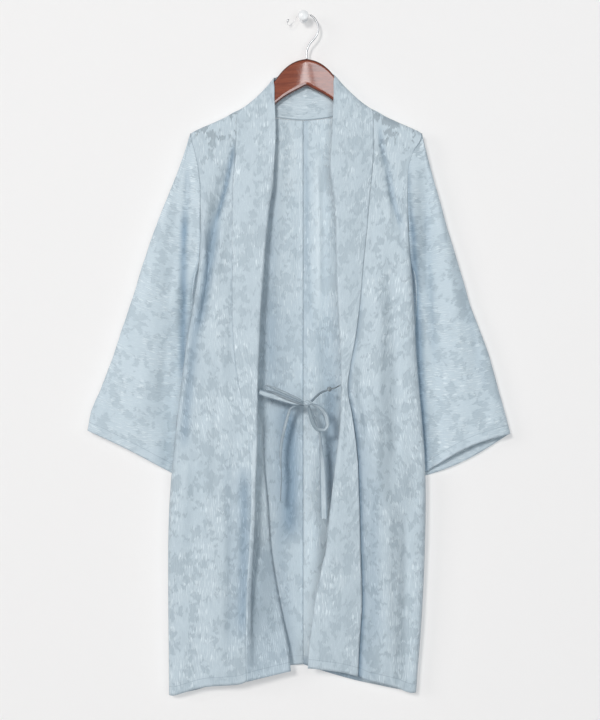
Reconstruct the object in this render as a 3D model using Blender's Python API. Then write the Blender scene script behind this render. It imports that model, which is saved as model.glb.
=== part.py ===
# Haori on a wooden hanger, hung from a wall peg.
#
# The garment faces -Y, +X is the wearer's left, and the wall is the plane Y = 0. The origin is the centre of the
# peg's foot on the wall. Tables are in millimetres: x across, height along Z (below the peg, so negative), and
# depth as the distance in front of the wall. "right" and "left" are the wearer's.

import math

import bmesh
import bpy
import numpy as np
from mathutils import Vector

MM = 0.001

# Cloth and seams
CLOTH = 1.5             # wall of every cloth piece
SEAM = 0.7              # between two pieces that are sewn together
BAND_WIDTH = 77.0       # collar band at the neck
BAND_BEND = 14.0        # length of cloth in each lengthwise bend of the band
BODY_ROWS = 18          # rows of a panel from the hem to the underarm

# Hanger and peg
HANGER_X = 5.2          # middle of the hanger, beside the peg
HANGER_DEPTH = 20.0     # its middle plane, in front of the wall
HANGER_THICK = 14.0
HANGER_LIFT = 2.1       # cloth's middle surface above the wood's top edge
HOOK_WIRE = 3.4         # diameter
PEG_STEM = 6.0          # diameter
PEG_HEAD = 18.8         # diameter
PEG_FOOT = 16.0         # diameter
PEG_REACH = 34.0        # wall to the front of the head
PEG_HEAD_THICK = 4.0

# The cloth goes over the hanger's arm on a round ridge
RIDGE_RADIUS = 8.85     # of the cloth's middle surface about the ridge line
RIDGE_DROP = RIDGE_RADIUS - HANGER_LIFT
SEAM_SHIFT = 17.0       # how far the collar's seam moves towards the neck as it goes over the ridge
ARM_END = 205.0         # end of the wooden arm, from the hanger's middle
SHOULDER_END = 208.0    # sleeve seam on the ridge, from the hanger's middle
SEAM_OUT = {"right": 126.0, "left": 122.0}      # collar seam on the ridge's front, from the hanger's middle
NECK_OUT = {"right": 58.0, "left": 50.0}        # the band's free edge there
NECK_HEIGHT = -187.0    # collar seam at the centre back
NECK_DEPTH = 11.15

# Columns and rows of the walls
FRONT_SHARES = (0.0, 0.08, 0.20, 0.34, 0.48, 0.62, 0.76, 0.89, 1.0)
ROLL_STEPS = (0.34, 0.67, 1.0)          # round the side
NECK_SHARES = (0.0, 0.11, 0.22, 0.34, 0.455)
CROSS_ANGLES = (180, 150, 120, 90)      # where the collar's seam goes over the arm
CROSS_STEP = 0.035
BACK_SHOULDER = (0.70, 0.85, 1.0)
ARM_ANGLES = (30, 60, 87)
OVER_ANGLES = (30, 60, 90, 120, 150, 180)
ARMHOLE = (0.0, 0.10, 0.22, 0.36, 0.50, 0.64, 0.77, 0.88, 0.95, 1.0)
OPENING = 14.0          # height above the underarm over which the armhole opens
ROLL_ABOVE = 3.0        # radius of the back's side above that
BEND_SHARE = 0.09       # half the band's fold, as a share of its width
BAND_START = 0.05       # least share of it before the fold
BAND_FLAT = 3
BAND_CURVE = 5
BAND_REST = 4
SLEEVE_TILT = 0.3       # extra gap at the sleeve seam, where the sleeve leans outwards
TAPE_STEPS = 2
WOOD_STATIONS = (0, 6, 12, 18, 25, 31, 38, 47, 56, 66, 76, 90, 103, 119, 138, 158, 172, 186, 196, 202, 205)
WOOD_SIDES = 12
WOOD_SQUARE = 0.6


class Table:
    """Rows of numbers under named columns, read between its rows along the first column."""

    def __init__(self, columns, *rows):
        self.names = columns.split()
        self.rows = np.array(sorted(rows), dtype=float)

    def read(self, name, key):
        keys = self.rows[:, 0]
        values = self.rows[:, self.names.index(name)]
        key = min(max(key, keys[0]), keys[-1])
        i = min(int(np.searchsorted(keys, key, side="right")) - 1, len(keys) - 2)
        span = keys[i + 1] - keys[i]
        t = (key - keys[i]) / span
        slopes = [self.slope(keys, values, k) for k in (i, i + 1)]
        a = 2 * t ** 3 - 3 * t ** 2 + 1
        b = t ** 3 - 2 * t ** 2 + t
        c = t ** 3 - t ** 2
        return float(a * values[i] + (1 - a) * values[i + 1] + span * (b * slopes[0] + c * slopes[1]))

    @staticmethod
    def slope(keys, values, k):
        """Slope at row k, flat where the column turns, so that a curve never overshoots its rows."""
        if k in (0, len(keys) - 1):
            return 0.0 if len(keys) > 2 else (values[-1] - values[0]) / (keys[-1] - keys[0])
        before = (values[k] - values[k - 1]) / (keys[k] - keys[k - 1])
        after = (values[k + 1] - values[k]) / (keys[k + 1] - keys[k])
        return 0.0 if before * after <= 0 else 2 * before * after / (before + after)


# Wooden hanger: height of its top and bottom edge, by the distance from its middle
HANGER = Table(
    "out   top   bottom",
    (0, -77.4, -126.5),
    (12, -79.4, -132.0),
    (25, -84.6, -138.5),
    (38, -94.0, -146.0),
    (47, -103.5, -152.5),
    (56, -115.5, -159.5),
    (76, -138.0, -174.0),
    (103, -161.5, -192.5),
    (119, -171.5, -201.5),
    (158, -191.0, -220.0),
    (182, -201.5, -229.5),
    (198, -208.5, -235.0),
    (205, -213.5, -234.0),
)

# Body seen from the front, by height: the collar seam and the sleeve or side seam, with their depths, and how the
# side of the front and of the back rolls round to the seam (radius in mm, turn in degrees)
BODY = {
    "right": Table(
        "height  seam_x  side_x  seam_depth  side_depth  back_depth  roll_front  turn",
        (-1232, -100.5, -243.0, 44, 30, 10, 8.0, 90),
        (-1146, -103.0, -243.5, 47, 31, 10, 8.0, 90),
        (-1054, -102.0, -244.4, 53, 33, 11, 9.0, 90),
        (-968, -97.5, -244.4, 59, 36, 13, 10.0, 90),
        (-874, -93.5, -241.5, 62, 38, 17, 10.5, 90),
        (-793, -94.5, -234.0, 60, 40, 19, 11.0, 90),
        (-730, -103.0, -228.0, 57, 41, 19, 11.5, 90),
        (-658, -117.5, -219.0, 51, 42, 19, 12.0, 90),
        (-586, -126.0, -210.0, 45, 42, 19, 12.5, 90),
        (-514, -128.5, -197.5, 41, 41, 19, 12.0, 90),
        (-456, -128.5, -189.0, 38, 40, 18, 11.0, 90),
        (-400, -128.5, -186.0, 35, 38, 16, 8.0, 70),
        (-320, -128.5, -185.5, 32, 35, 14, 5.0, 50),
        (-262, -127.5, -192.0, 30.5, 31, 12.5, 4.0, 25),
        (-240, -125.5, -196.5, 29.6, 29.4, 11.6, 3.0, 8),
        (-220, -124.0, -202.8, 29.0, 29.0, 11.3, 3.0, 0),
        (-190, -121.0, -203.0, 28.85, 28.85, 11.15, 3.0, 0),
    ),
    "left": Table(
        "height  seam_x  side_x  seam_depth  side_depth  back_depth  roll_front  turn",
        (-1232, 97.5, 204.0, 44, 30, 10, 8.0, 90),
        (-1146, 100.0, 210.0, 46, 31, 10, 8.0, 90),
        (-1054, 105.0, 216.0, 49, 33, 11, 9.0, 90),
        (-968, 102.5, 219.5, 53, 36, 13, 10.0, 90),
        (-874, 100.0, 221.0, 57, 38, 17, 10.5, 90),
        (-793, 96.5, 219.0, 58, 40, 19, 11.0, 90),
        (-730, 88.5, 214.0, 57, 41, 19, 11.5, 90),
        (-668, 79.0, 208.5, 53, 42, 19, 12.0, 90),
        (-602, 90.5, 203.5, 47, 42, 19, 12.5, 90),
        (-514, 102.5, 199.5, 42, 41, 19, 12.0, 90),
        (-456, 108.0, 195.0, 38, 40, 18, 11.0, 90),
        (-400, 114.0, 190.5, 35, 38, 16, 8.0, 70),
        (-320, 121.0, 188.0, 32, 35, 14, 5.0, 50),
        (-262, 126.0, 191.0, 30.5, 31, 12.5, 4.0, 25),
        (-240, 126.8, 199.5, 29.6, 29.4, 11.6, 3.0, 8),
        (-220, 127.0, 213.2, 29.0, 29.0, 11.3, 3.0, 0),
        (-190, 127.0, 213.0, 28.85, 28.85, 11.15, 3.0, 0),
    ),
}

# Hems, by the share of the panel's width from the collar seam, or from the centre-back seam
FRONT_HEM = {
    "right": Table("share height", (0, -1201), (0.1, -1206), (0.55, -1212), (0.85, -1223), (1, -1229)),
    "left": Table("share height", (0, -1192), (0.15, -1199), (0.35, -1204), (0.7, -1213), (1, -1224)),
}
BACK_HEM = {
    "right": Table("share height", (0, -1176), (0.35, -1190), (0.7, -1212), (1, -1229)),
    "left": Table("share height", (0, -1176), (0.2, -1180), (0.5, -1197), (0.8, -1216), (1, -1224)),
}

# Collar band seen from the front, by height: how much cloth shows before the first lengthwise bend, how far the
# band turns there, the run up to the second bend, and how far it turns back
BAND = {
    "right": Table(
        "height  shown  first_turn  run  second_turn  width",
        (-1204, 4, 4, 14, -2, 80),
        (-1146, 5, 45, 14, -37, 80),
        (-1092, 6, 78, 18, -61, 80),
        (-1022, 7, 100, 24, -80, 79),
        (-968, 7.5, 112, 27, -86, 78),
        (-874, 8, 125, 31, -102, 77),
        (-793, 13, 128, 34, -104, 77),
        (-730, 22, 142, 28, -122, 77),
        (-658, 38, 160, 26, -60, 77),
        (-586, 49, 160, 28, 0, 77),
        (-514, 55, 158, 26, 0, 77),
        (-442, 60, 152, 30, 0, 77),
        (-352, 68, 140, 30, 0, 77),
        (-291, 75, 90, 30, 0, 75),
        (-228, 75, 0, 30, 0, 75),
        (-150, 75, 0, 30, 0, 75),
    ),
    "left": Table(
        "height  shown  first_turn  run  second_turn  width",
        (-1204, 92, 10, 30, 0, 92),
        (-1146, 88, 20, 30, 0, 90),
        (-1077, 82, 40, 30, 0, 87),
        (-1022, 76, 80, 30, 0, 85),
        (-957, 62, 140, 26, 0, 82),
        (-896, 55, 152, 28, 0, 80),
        (-806, 41, 156, 28, 0, 78),
        (-730, 24, 160, 28, 0, 77),
        (-668, 12, 162, 28, 0, 77),
        (-602, 26, 162, 28, 0, 77),
        (-514, 42, 158, 28, 0, 77),
        (-424, 54, 150, 28, 0, 77),
        (-334, 65, 130, 28, 0, 77),
        (-270, 77, 60, 28, 0, 77),
        (-228, 77, 0, 28, 0, 77),
        (-150, 77, 0, 28, 0, 77),
    ),
}
BAND_HEM = {
    "right": Table("share height", (0, -1201), (1, -1183)),
    "left": Table("share height", (0, -1192), (0.3, -1184), (0.6, -1180), (1, -1176)),
}
BAND_SLOPE = 8.0        # degrees that the band stands forward of the panel as it leaves the seam

# Soft folds, a row for each: where its line starts and ends, its half width, and how far it stands forward (or,
# below zero, falls back)
FOLDS = {
    "front_right": (
        dict(x1=-128, z1=-232, x2=-160, z2=-385, width=9, rise=-6),
        dict(x1=-150, z1=-300, x2=-186, z2=-560, width=12, rise=-7),
        dict(x1=-172, z1=-600, x2=-192, z2=-1000, width=16, rise=-5),
        dict(x1=-150, z1=-560, x2=-150, z2=-1190, width=16, rise=5),
        dict(x1=-112, z1=-700, x2=-118, z2=-1150, width=10, rise=-6),
        dict(x1=-214, z1=-800, x2=-216, z2=-1200, width=12, rise=4),
    ),
    "front_left": (
        dict(x1=137, z1=-205, x2=176, z2=-390, width=9, rise=-6),
        dict(x1=160, z1=-420, x2=168, z2=-820, width=14, rise=-5),
        dict(x1=136, z1=-480, x2=128, z2=-880, width=14, rise=5),
        dict(x1=108, z1=-640, x2=116, z2=-1150, width=10, rise=-6),
        dict(x1=150, z1=-860, x2=158, z2=-1200, width=16, rise=5),
        dict(x1=186, z1=-900, x2=184, z2=-1200, width=12, rise=-4),
    ),
    "back_right": (
        dict(x1=-26, z1=-640, x2=-22, z2=-1080, width=12, rise=3),
        dict(x1=-62, z1=-420, x2=-70, z2=-1180, width=18, rise=-2),
        dict(x1=-120, z1=-380, x2=-128, z2=-1180, width=20, rise=-4),
        dict(x1=-170, z1=-600, x2=-180, z2=-1200, width=18, rise=5),
    ),
    "back_left": (
        dict(x1=12, z1=-560, x2=14, z2=-1150, width=15, rise=8),
        dict(x1=52, z1=-420, x2=56, z2=-1180, width=18, rise=-4),
        dict(x1=104, z1=-380, x2=110, z2=-1180, width=20, rise=6),
        dict(x1=152, z1=-600, x2=156, z2=-1200, width=18, rise=-4),
    ),
    "sleeve_right": (
        dict(x1=-222, z1=-330, x2=-262, z2=-760, width=14, rise=-5),
        dict(x1=-262, z1=-420, x2=-318, z2=-760, width=18, rise=4),
    ),
    "sleeve_left": (
        dict(x1=222, z1=-290, x2=236, z2=-740, width=14, rise=-6),
        dict(x1=250, z1=-360, x2=300, z2=-740, width=18, rise=4),
    ),
}
FOLD_FADE = 90.0        # length over which a fold starts and ends

CENTRE_BACK = Table("height depth", (-1232, 9), (-1050, 6), (-880, 6), (-640, 8), (-300, 9.5), (-187, 11.15))

# Sleeves, by height: the top fold, and the underarm seam down to the cuff
SLEEVE_TOP = {
    "right": Table(
        "height  x",
        (-211.6, -204.5),
        (-233, -211.3),
        (-287, -230.2),
        (-351, -256.0),
        (-424, -282.0),
        (-550, -323.0),
        (-649, -357.0),
        (-750, -391.5),
    ),
    "left": Table(
        "height  x",
        (-211.6, 214.5),
        (-231.5, 218.9),
        (-267, 229.0),
        (-330, 245.9),
        (-383, 260.3),
        (-438, 277.4),
        (-525, 303.5),
        (-635, 343.1),
        (-694, 357.5),
        (-756, 375.5),
    ),
}
SLEEVE_UNDER = {
    "right": Table(
        "height  x",
        (-456, -194.2),
        (-486, -200.5),
        (-522, -203.0),
        (-575, -202.5),
        (-680, -206.5),
        (-838, -222.0),
    ),
    "left": Table(
        "height  x",
        (-456, 200.2),
        (-486, 205.5),
        (-522, 206.0),
        (-575, 202.0),
        (-680, 199.0),
        (-838, 206.0),
    ),
}
UNDERARM = -456.0              # height where the sleeve seam ends and the side seam starts
SLEEVE_ROWS = 9                # below the underarm
SLEEVE_SLIT = 8.0              # how far below the underarm the sleeve closes to a tube
SLEEVE_FAR = (28.0, 8.0)       # depth of the front and back layer away from the body
SLEEVE_BEHIND = (12.2, 3.6)    # the same where the sleeve hangs behind the body
SLEEVE_SPREAD = 40.0           # distance over which it goes from one to the other
SLEEVE_LEAVE = 26.0            # distance over which it leaves the depth of the armhole's edge
SLEEVE_FREE = 60.0             # height below the underarm over which its seam goes behind the body
CUFF_DROP = {"right": (-4.0, -3.0), "left": (-13.0, 10.0)}    # front and back cuff edge below a straight line
SLEEVE_STATIONS = (
    dict(angle=0, across=0.00, under_face=0.00, top_face=1.00),
    dict(angle=6, across=0.05, under_face=0.70, top_face=1.00),
    dict(angle=12, across=0.13, under_face=1.00, top_face=1.00),
    dict(angle=19, across=0.27, under_face=1.00, top_face=1.00),
    dict(angle=27, across=0.43, under_face=1.00, top_face=1.00),
    dict(angle=36, across=0.60, under_face=1.00, top_face=1.00),
    dict(angle=46, across=0.77, under_face=1.00, top_face=1.00),
    dict(angle=58, across=0.91, under_face=1.00, top_face=1.00),
    dict(angle=74, across=0.98, under_face=1.00, top_face=0.65),
    dict(angle=90, across=1.00, under_face=1.00, top_face=0.00),
)

# Ties, flat tapes: the path of the middle line and the way the width faces, from 0 (seen flat) to 90 (edge on)
TAPE_THICK = 1.2
TIE_HEIGHT = {"right": -680.0, "left": -667.0}     # where they leave the band
KNOT = dict(x=6.5, depth=61.0, height=-700.0, size=(16.5, 12.5, 10.5))
STOP = dict(x=46.5, depth=63.0, height=-674.5, size=(8.5, 8.0, 9.0))
TAPES = {
    "tie_right_strap": Table(
        "step  x  depth  height  width  facing",
        (0, -77.6, 60.0, -680.0, 9.0, 12),
        (1, -66.0, 58.5, -684.0, 10.5, 12),
        (2, -50.0, 57.5, -688.5, 11.0, 12),
        (3, -30.0, 57.5, -694.5, 10.5, 14),
        (4, -14.0, 58.5, -699.5, 8.5, 20),
        (5, -2.45, 60.5, -701.3, 6.0, 30),
    ),
    "tie_right_loop": Table(
        "step  x  depth  height  width  facing",
        (0, -0.1, 64.4, -697.1, 6.0, 62),
        (1, -20.0, 66.5, -687.5, 9.0, 58),
        (2, -42.0, 67.5, -677.5, 10.0, 62),
        (3, -58.0, 67.5, -670.5, 10.0, 72),
        (4, -66.5, 67.5, -668.0, 10.0, 84),
        (5, -71.0, 67.5, -672.0, 10.0, 88),
        (6, -67.0, 67.5, -676.5, 10.0, 84),
        (7, -56.0, 67.5, -679.5, 10.0, 72),
        (8, -40.0, 67.5, -686.5, 10.0, 62),
        (9, -20.0, 66.5, -694.5, 9.0, 58),
        (10, -0.9, 64.4, -701.8, 6.0, 62),
    ),
    "tie_right_tail": Table(
        "step  x  depth  height  width  facing",
        (0, 0.7, 56.6, -703.3, 5.0, 70),
        (1, -12.0, 50.5, -705.0, 8.0, 78),
        (2, -22.0, 49.0, -709.0, 10.5, 84),
        (3, -28.0, 48.5, -724.0, 11.0, 84),
        (4, -34.0, 48.0, -746.0, 11.0, 80),
        (5, -40.0, 47.5, -778.0, 11.0, 82),
        (6, -41.0, 47.0, -802.0, 11.0, 86),
        (7, -39.5, 47.0, -832.0, 11.0, 84),
        (8, -41.5, 47.0, -876.0, 11.0, 80),
    ),
    "tie_left_strap": Table(
        "step  x  depth  height  width  facing",
        (0, 14.0, 61.5, -697.0, 6.0, 50),
        (1, 22.0, 61.5, -688.5, 8.5, 62),
        (2, 31.0, 62.0, -681.0, 9.0, 66),
        (3, 42.1, 62.6, -676.4, 6.5, 60),
    ),
    "tie_left_loop": Table(
        "step  x  depth  height  width  facing",
        (0, 14.2, 64.0, -701.5, 6.0, 56),
        (1, 24.0, 66.5, -704.5, 10.0, 52),
        (2, 34.0, 68.0, -712.0, 11.5, 50),
        (3, 41.0, 68.5, -724.0, 12.0, 52),
        (4, 43.0, 68.5, -738.0, 12.0, 58),
        (5, 36.5, 68.5, -747.5, 12.0, 66),
        (6, 26.5, 68.0, -747.0, 12.0, 62),
        (7, 18.5, 67.5, -738.0, 12.0, 54),
        (8, 13.5, 66.0, -724.0, 11.5, 52),
        (9, 8.8, 63.5, -706.4, 7.0, 60),
    ),
    "tie_left_tail": Table(
        "step  x  depth  height  width  facing",
        (0, 9.3, 56.5, -705.1, 6.0, 60),
        (1, 16.0, 54.5, -720.0, 10.0, 64),
        (2, 24.0, 54.5, -736.0, 11.5, 72),
        (3, 29.5, 54.5, -756.0, 12.0, 78),
        (4, 32.0, 54.0, -782.0, 12.0, 60),
        (5, 34.5, 53.5, -815.0, 12.0, 36),
        (6, 36.0, 53.0, -860.0, 12.0, 18),
        (7, 37.0, 53.0, -907.0, 12.0, 12),
    ),
}
CHI_WIRE = 2.4
CHI_PATH = (
    dict(x=51.1, depth=62.5, z=-673.8),
    dict(x=58.0, depth=61.0, z=-671.8),
)

# Hook: the wire's middle line, from the wood up, over the peg and round to its curled tip
HOOK_PATH = (
    dict(x=6.5, z=-76.9),
    dict(x=6.5, z=-62.0),
    dict(x=11.5, z=-49.7),
    dict(x=22.0, z=-37.0),
    dict(x=27.0, z=-24.0),
    dict(x=23.6, z=-8.3),
    dict(x=13.0, z=2.6),
    dict(x=0.0, z=5.0),
    dict(x=-10.8, z=0.6),
    dict(x=-19.5, z=-11.5),
    dict(x=-25.5, z=-15.8),
    dict(x=-29.5, z=-12.0),
    dict(x=-26.5, z=-4.5),
)

SIDES = {"right": -1.0, "left": 1.0}


def place(x, depth, height):
    """A point from millimetres across, in front of the wall and up."""
    return Vector((x * MM, -depth * MM, height * MM))


def mix(a, b, share):
    return a + (b - a) * share


def ease(value):
    """0 to 1 with soft ends."""
    value = min(max(value, 0.0), 1.0)
    return value * value * (3 - 2 * value)


def material(name, colour, roughness, metallic=0.0):
    finish = bpy.data.materials.new(name)
    finish.use_nodes = True
    shader = finish.node_tree.nodes["Principled BSDF"]
    shader.inputs["Base Color"].default_value = (*colour, 1.0)
    shader.inputs["Roughness"].default_value = roughness
    shader.inputs["Metallic"].default_value = metallic
    return finish


def finish_mesh(name, shape, finish, smooth_angle):
    """Turns worked-out faces into a named piece with soft and sharp edges."""
    mesh = bpy.data.meshes.new(name)
    shape.to_mesh(mesh)
    shape.free()
    mesh.shade_smooth()
    mesh.set_sharp_from_angle(angle=math.radians(smooth_angle))
    mesh.materials.append(finish)
    piece = bpy.data.objects.new(name, mesh)
    bpy.context.scene.collection.objects.link(piece)
    return piece


def sheet_piece(name, rows, finish, even=True):
    """A cloth wall through rows of points, None where a row has no cloth, then given its thickness."""
    shape = bmesh.new()
    across = len(rows[0])
    grid = [[point and shape.verts.new(point) for point in row] for row in rows]
    for low, high in zip(grid, grid[1:]):
        for i in range(across - 1):
            corners = [vert for vert in (low[i], low[i + 1], high[i + 1], high[i]) if vert]
            if len(corners) > 2:
                shape.faces.new(corners)
    bmesh.ops.remove_doubles(shape, verts=shape.verts, dist=1e-6)
    bmesh.ops.recalc_face_normals(shape, faces=shape.faces)
    piece = finish_mesh(name, shape, finish, 50.0)
    wall = piece.modifiers.new("Wall", "SOLIDIFY")
    wall.thickness = CLOTH * MM
    wall.offset = 0.0
    wall.use_even_offset = even
    return piece


def ring_piece(name, rings, finish, smooth_angle):
    """A closed solid through rings of points, with a flat cap at each end."""
    shape = bmesh.new()
    loops = [[shape.verts.new(point) for point in ring] for ring in rings]
    count = len(loops[0])
    for low, high in zip(loops, loops[1:]):
        for i in range(count):
            j = (i + 1) % count
            shape.faces.new((low[i], low[j], high[j], high[i]))
    shape.faces.new(list(reversed(loops[0])))
    shape.faces.new(loops[-1])
    bmesh.ops.recalc_face_normals(shape, faces=shape.faces)
    return finish_mesh(name, shape, finish, smooth_angle)


def fold_rise(name, x, height):
    """How far the folds of a piece move this point forward."""
    total = 0.0
    for fold in FOLDS.get(name, ()):
        along = (fold["z1"] - height) / (fold["z1"] - fold["z2"])
        length = fold["z1"] - fold["z2"]
        inside = min(along, 1 - along) * length / FOLD_FADE
        line = mix(fold["x1"], fold["x2"], along)
        total += fold["rise"] * ease(inside + 0.35) * math.exp(-((x - line) / fold["width"]) ** 2)
    return total


def ridge_point(side, out, angle):
    """A point on the cloth that goes over the hanger's arm: 0 degrees is its front, 90 its top, 180 its back."""
    sign = SIDES[side]
    step = 1.0
    slope = (HANGER.read("top", out + step) - HANGER.read("top", out - step)) / (2 * step)
    length = math.hypot(1.0, slope)
    normal_x = -slope * sign / length
    normal_z = 1.0 / length
    lift = RIDGE_RADIUS * math.sin(math.radians(angle))
    depth = HANGER_DEPTH + RIDGE_RADIUS * math.cos(math.radians(angle))
    x = HANGER_X + sign * out + normal_x * lift
    height = HANGER.read("top", out) - RIDGE_DROP + normal_z * lift
    return x, depth, height


def seam_out(side, angle):
    """Collar seam on the arm, from the hanger's middle, at an angle round the ridge."""
    return SEAM_OUT[side] - SEAM_SHIFT * angle / 180.0


def settle(v, share=0.0):
    """How far a row has come onto the hanger's arm: 0 below the shoulder, 1 on it, later at the armhole."""
    return mix(ease((v - 0.86) / 0.14) * (1 - share ** 3), 1.0, ease((v - 0.97) / 0.03))


def edge_heights(side):
    """Heights of the rows at a panel's side: from the hem to the underarm, then up the armhole to the arm."""
    hem = FRONT_HEM[side].read("height", 1)
    top = ridge_point(side, SHOULDER_END, 0)[2]
    low = [mix(hem, UNDERARM, k / BODY_ROWS) for k in range(BODY_ROWS)]
    high = [mix(top, UNDERARM, share) for share in reversed(ARMHOLE)]
    return low + high


def row_shares(side):
    heights = edge_heights(side)
    return [(z - heights[0]) / (heights[-1] - heights[0]) for z in heights]


def side_edge(side, face, height, turn_share):
    """The rolled side of a front or back panel: x and depth, from flat (0) to the seam (1)."""
    body = BODY[side]
    sign = SIDES[side]
    front_depth = body.read("side_depth", height)
    back_depth = body.read("back_depth", height)
    radius = body.read("roll_front", height)
    if face == "back":
        sewn = ease((UNDERARM + OPENING - height) / OPENING)
        gap = SEAM * (1 + ease((height - UNDERARM + OPENING * 2) / OPENING / 2))
        radius = mix(ROLL_ABOVE, front_depth - radius - gap - back_depth, sewn)
    full = math.radians(body.read("turn", height))
    angle = full * turn_share
    flat_x = body.read("side_x", height) - sign * radius * math.sin(full)
    x = flat_x + sign * radius * math.sin(angle)
    if face == "front":
        return x, front_depth - radius * (1 - math.cos(angle))
    return x, back_depth + radius * (1 - math.cos(angle))


def front_point(side, share, roll, v):
    """A point of a front's wall: its share of the width from the collar seam, and of the height from the hem."""
    body = BODY[side]
    sign = SIDES[side]
    gap = sign * SEAM if share == 0 else 0.0
    top_x, top_depth, top_height = ridge_point(side, mix(seam_out(side, 0), SHOULDER_END, share), 0)
    height = mix(FRONT_HEM[side].read("height", share), top_height, v)
    edge_x, edge_depth = side_edge(side, "front", height, roll)
    x = mix(body.read("seam_x", height), edge_x, share)
    depth = mix(body.read("seam_depth", height), edge_depth, ease(share) if roll == 0 else 1.0)
    on_arm = settle(v)
    x = mix(x, top_x, settle(v, share)) + gap
    depth = mix(depth, top_depth, on_arm)
    if roll == 0:
        near = min(share / 0.18, (1 - share) / 0.15, 1.0)
        depth += fold_rise("front_" + side, x, height) * ease(near) * (1 - on_arm)
    return x, depth, height


def front_panel(side, finish):
    """A front: from the collar seam to the side, and from the hem up to the top of the shoulder."""
    columns = [(share, 0.0) for share in FRONT_SHARES] + [(1.0, roll) for roll in ROLL_STEPS]
    rows = [[front_point(side, share, roll, v) for share, roll in columns] for v in row_shares(side)]
    for angle in ARM_ANGLES:
        start = seam_out(side, angle) + SEAM
        rows.append([ridge_point(side, mix(start, SHOULDER_END, share), angle) for share, roll in columns])
    rows = [spread_ends(row, len(ROLL_STEPS)) for row in rows]
    return sheet_piece("front_" + side, [[place(*p) for p in row] for row in rows], finish)


def spread_ends(row, count):
    """Where the side doesn't roll, its last columns lie evenly between the flat part and the edge."""
    steps = count + 1
    flat = row[-steps - 1]
    edge = row[-1]
    if math.dist(row[-steps], edge) > count * 2.0:
        return row
    inner = [tuple(mix(a, b, k / steps) for a, b in zip(flat, edge)) for k in range(1, steps)]
    return list(row[:-steps]) + inner + [edge]


def back_columns(side):
    """Columns of a back panel: share of its width, and where its top edge is on the arm (out, angle)."""
    columns = [dict(share=s, out=None, angle=180, roll=0.0) for s in NECK_SHARES[:-1]]
    for k, angle in enumerate(CROSS_ANGLES):
        share = NECK_SHARES[-1] + CROSS_STEP * k
        columns.append(dict(share=share, out=seam_out(side, angle) + SEAM, angle=angle, roll=0.0))
    start = columns[-1]["share"]
    for share in BACK_SHOULDER:
        out = mix(seam_out(side, 90), SHOULDER_END, (share - start) / (1 - start))
        columns.append(dict(share=share, out=out, angle=90, roll=0.0))
    columns += [dict(share=1.0, out=SHOULDER_END, angle=90, roll=roll) for roll in ROLL_STEPS]
    return columns


def neck_line(side, blend):
    """The collar's seam behind the neck: from the centre back (0) to the arm's back (1)."""
    corner = ridge_point(side, seam_out(side, 180), 180)
    depth = mix(NECK_DEPTH, corner[1], blend)
    return mix(0.0, corner[0], blend), depth, mix(NECK_HEIGHT, corner[2], blend ** 1.5)


def back_point(side, column, v):
    """A point of a back's wall below the arm."""
    sign = SIDES[side]
    share = column["share"]
    if column["out"] is None:
        low = neck_line(side, share / NECK_SHARES[-1])
        low = (low[0], low[1], low[2] - SEAM)
    else:
        low = ridge_point(side, column["out"], 180)
    centre = sign * SEAM * 0.5 * (1 - share)
    height = mix(BACK_HEM[side].read("height", share), low[2], v)
    edge_x, edge_depth = side_edge(side, "back", height, column["roll"])
    middle_depth = CENTRE_BACK.read("depth", height)
    x = mix(0.0, edge_x, share)
    depth = mix(middle_depth, edge_depth, ease(share) if column["roll"] == 0 else 1.0)
    on_arm = settle(v)
    x = mix(x, low[0], settle(v, share)) + centre
    depth = mix(depth, low[1], on_arm)
    if column["roll"] == 0:
        near = min((1 - share) / 0.15, 1.0)
        depth += fold_rise("back_" + side, x, height) * ease(near) * (1 - on_arm)
    return x, depth, height


def back_panel(side, finish):
    """A back: from the centre seam to the side, and from the hem up to the collar seam and the shoulder."""
    columns = back_columns(side)
    rows = [[back_point(side, column, v) for column in columns] for v in row_shares(side)]
    rows = [spread_ends(row, len(ROLL_STEPS)) for row in rows]
    for step in range(1, len(ARM_ANGLES) + 1):
        over = [None if c["angle"] == 180 else
                ridge_point(side, c["out"], mix(180, max(c["angle"], 180 - ARM_ANGLES[-1]), step / len(ARM_ANGLES)))
                for c in columns]
        rows.append(spread_ends(over, len(ROLL_STEPS)))
    return sheet_piece("back_" + side, [[p and place(*p) for p in row] for row in rows], finish)


def crease_share(side, height):
    """Where the band's fold is, as a share of its width, for its columns to follow."""
    share = BAND[side].read("shown", height) / BAND[side].read("width", height)
    return min(max(share, BEND_SHARE + BAND_START), 1 - 2 * BEND_SHARE)


def band_shares(side, height):
    """Shares of the band's width at its columns, closer together in its fold."""
    crease = crease_share(side, height)
    before = [mix(0, crease - BEND_SHARE, k / BAND_FLAT) for k in range(BAND_FLAT)]
    bend = [mix(crease - BEND_SHARE, crease + BEND_SHARE, k / BAND_CURVE) for k in range(BAND_CURVE)]
    after = [mix(crease + BEND_SHARE, 1, k / BAND_REST) for k in range(BAND_REST + 1)]
    return before + bend + after


def band_section(side, height):
    """The band across, with its lengthwise bends: points every half millimetre, (x, depth) from its seam."""
    band = BAND[side]
    width = band.read("width", height)
    shown, first, run, second = (band.read(n, height) for n in ("shown", "first_turn", "run", "second_turn"))
    count = int(round(width * 2))
    step = width / count
    x, depth = 0.0, 0.0
    points = [(x, depth)]
    for k in range(count):
        along = (k + 0.5) * step
        turn = -BAND_SLOPE * (1 - ease(along / (shown + 1.0)))
        turn += first * ease((along - shown) / BAND_BEND + 0.5)
        turn += second * ease((along - shown - run) / BAND_BEND + 0.5)
        x += math.cos(math.radians(turn)) * step
        depth -= math.sin(math.radians(turn)) * step
        points.append((x, depth))
    return points


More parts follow.
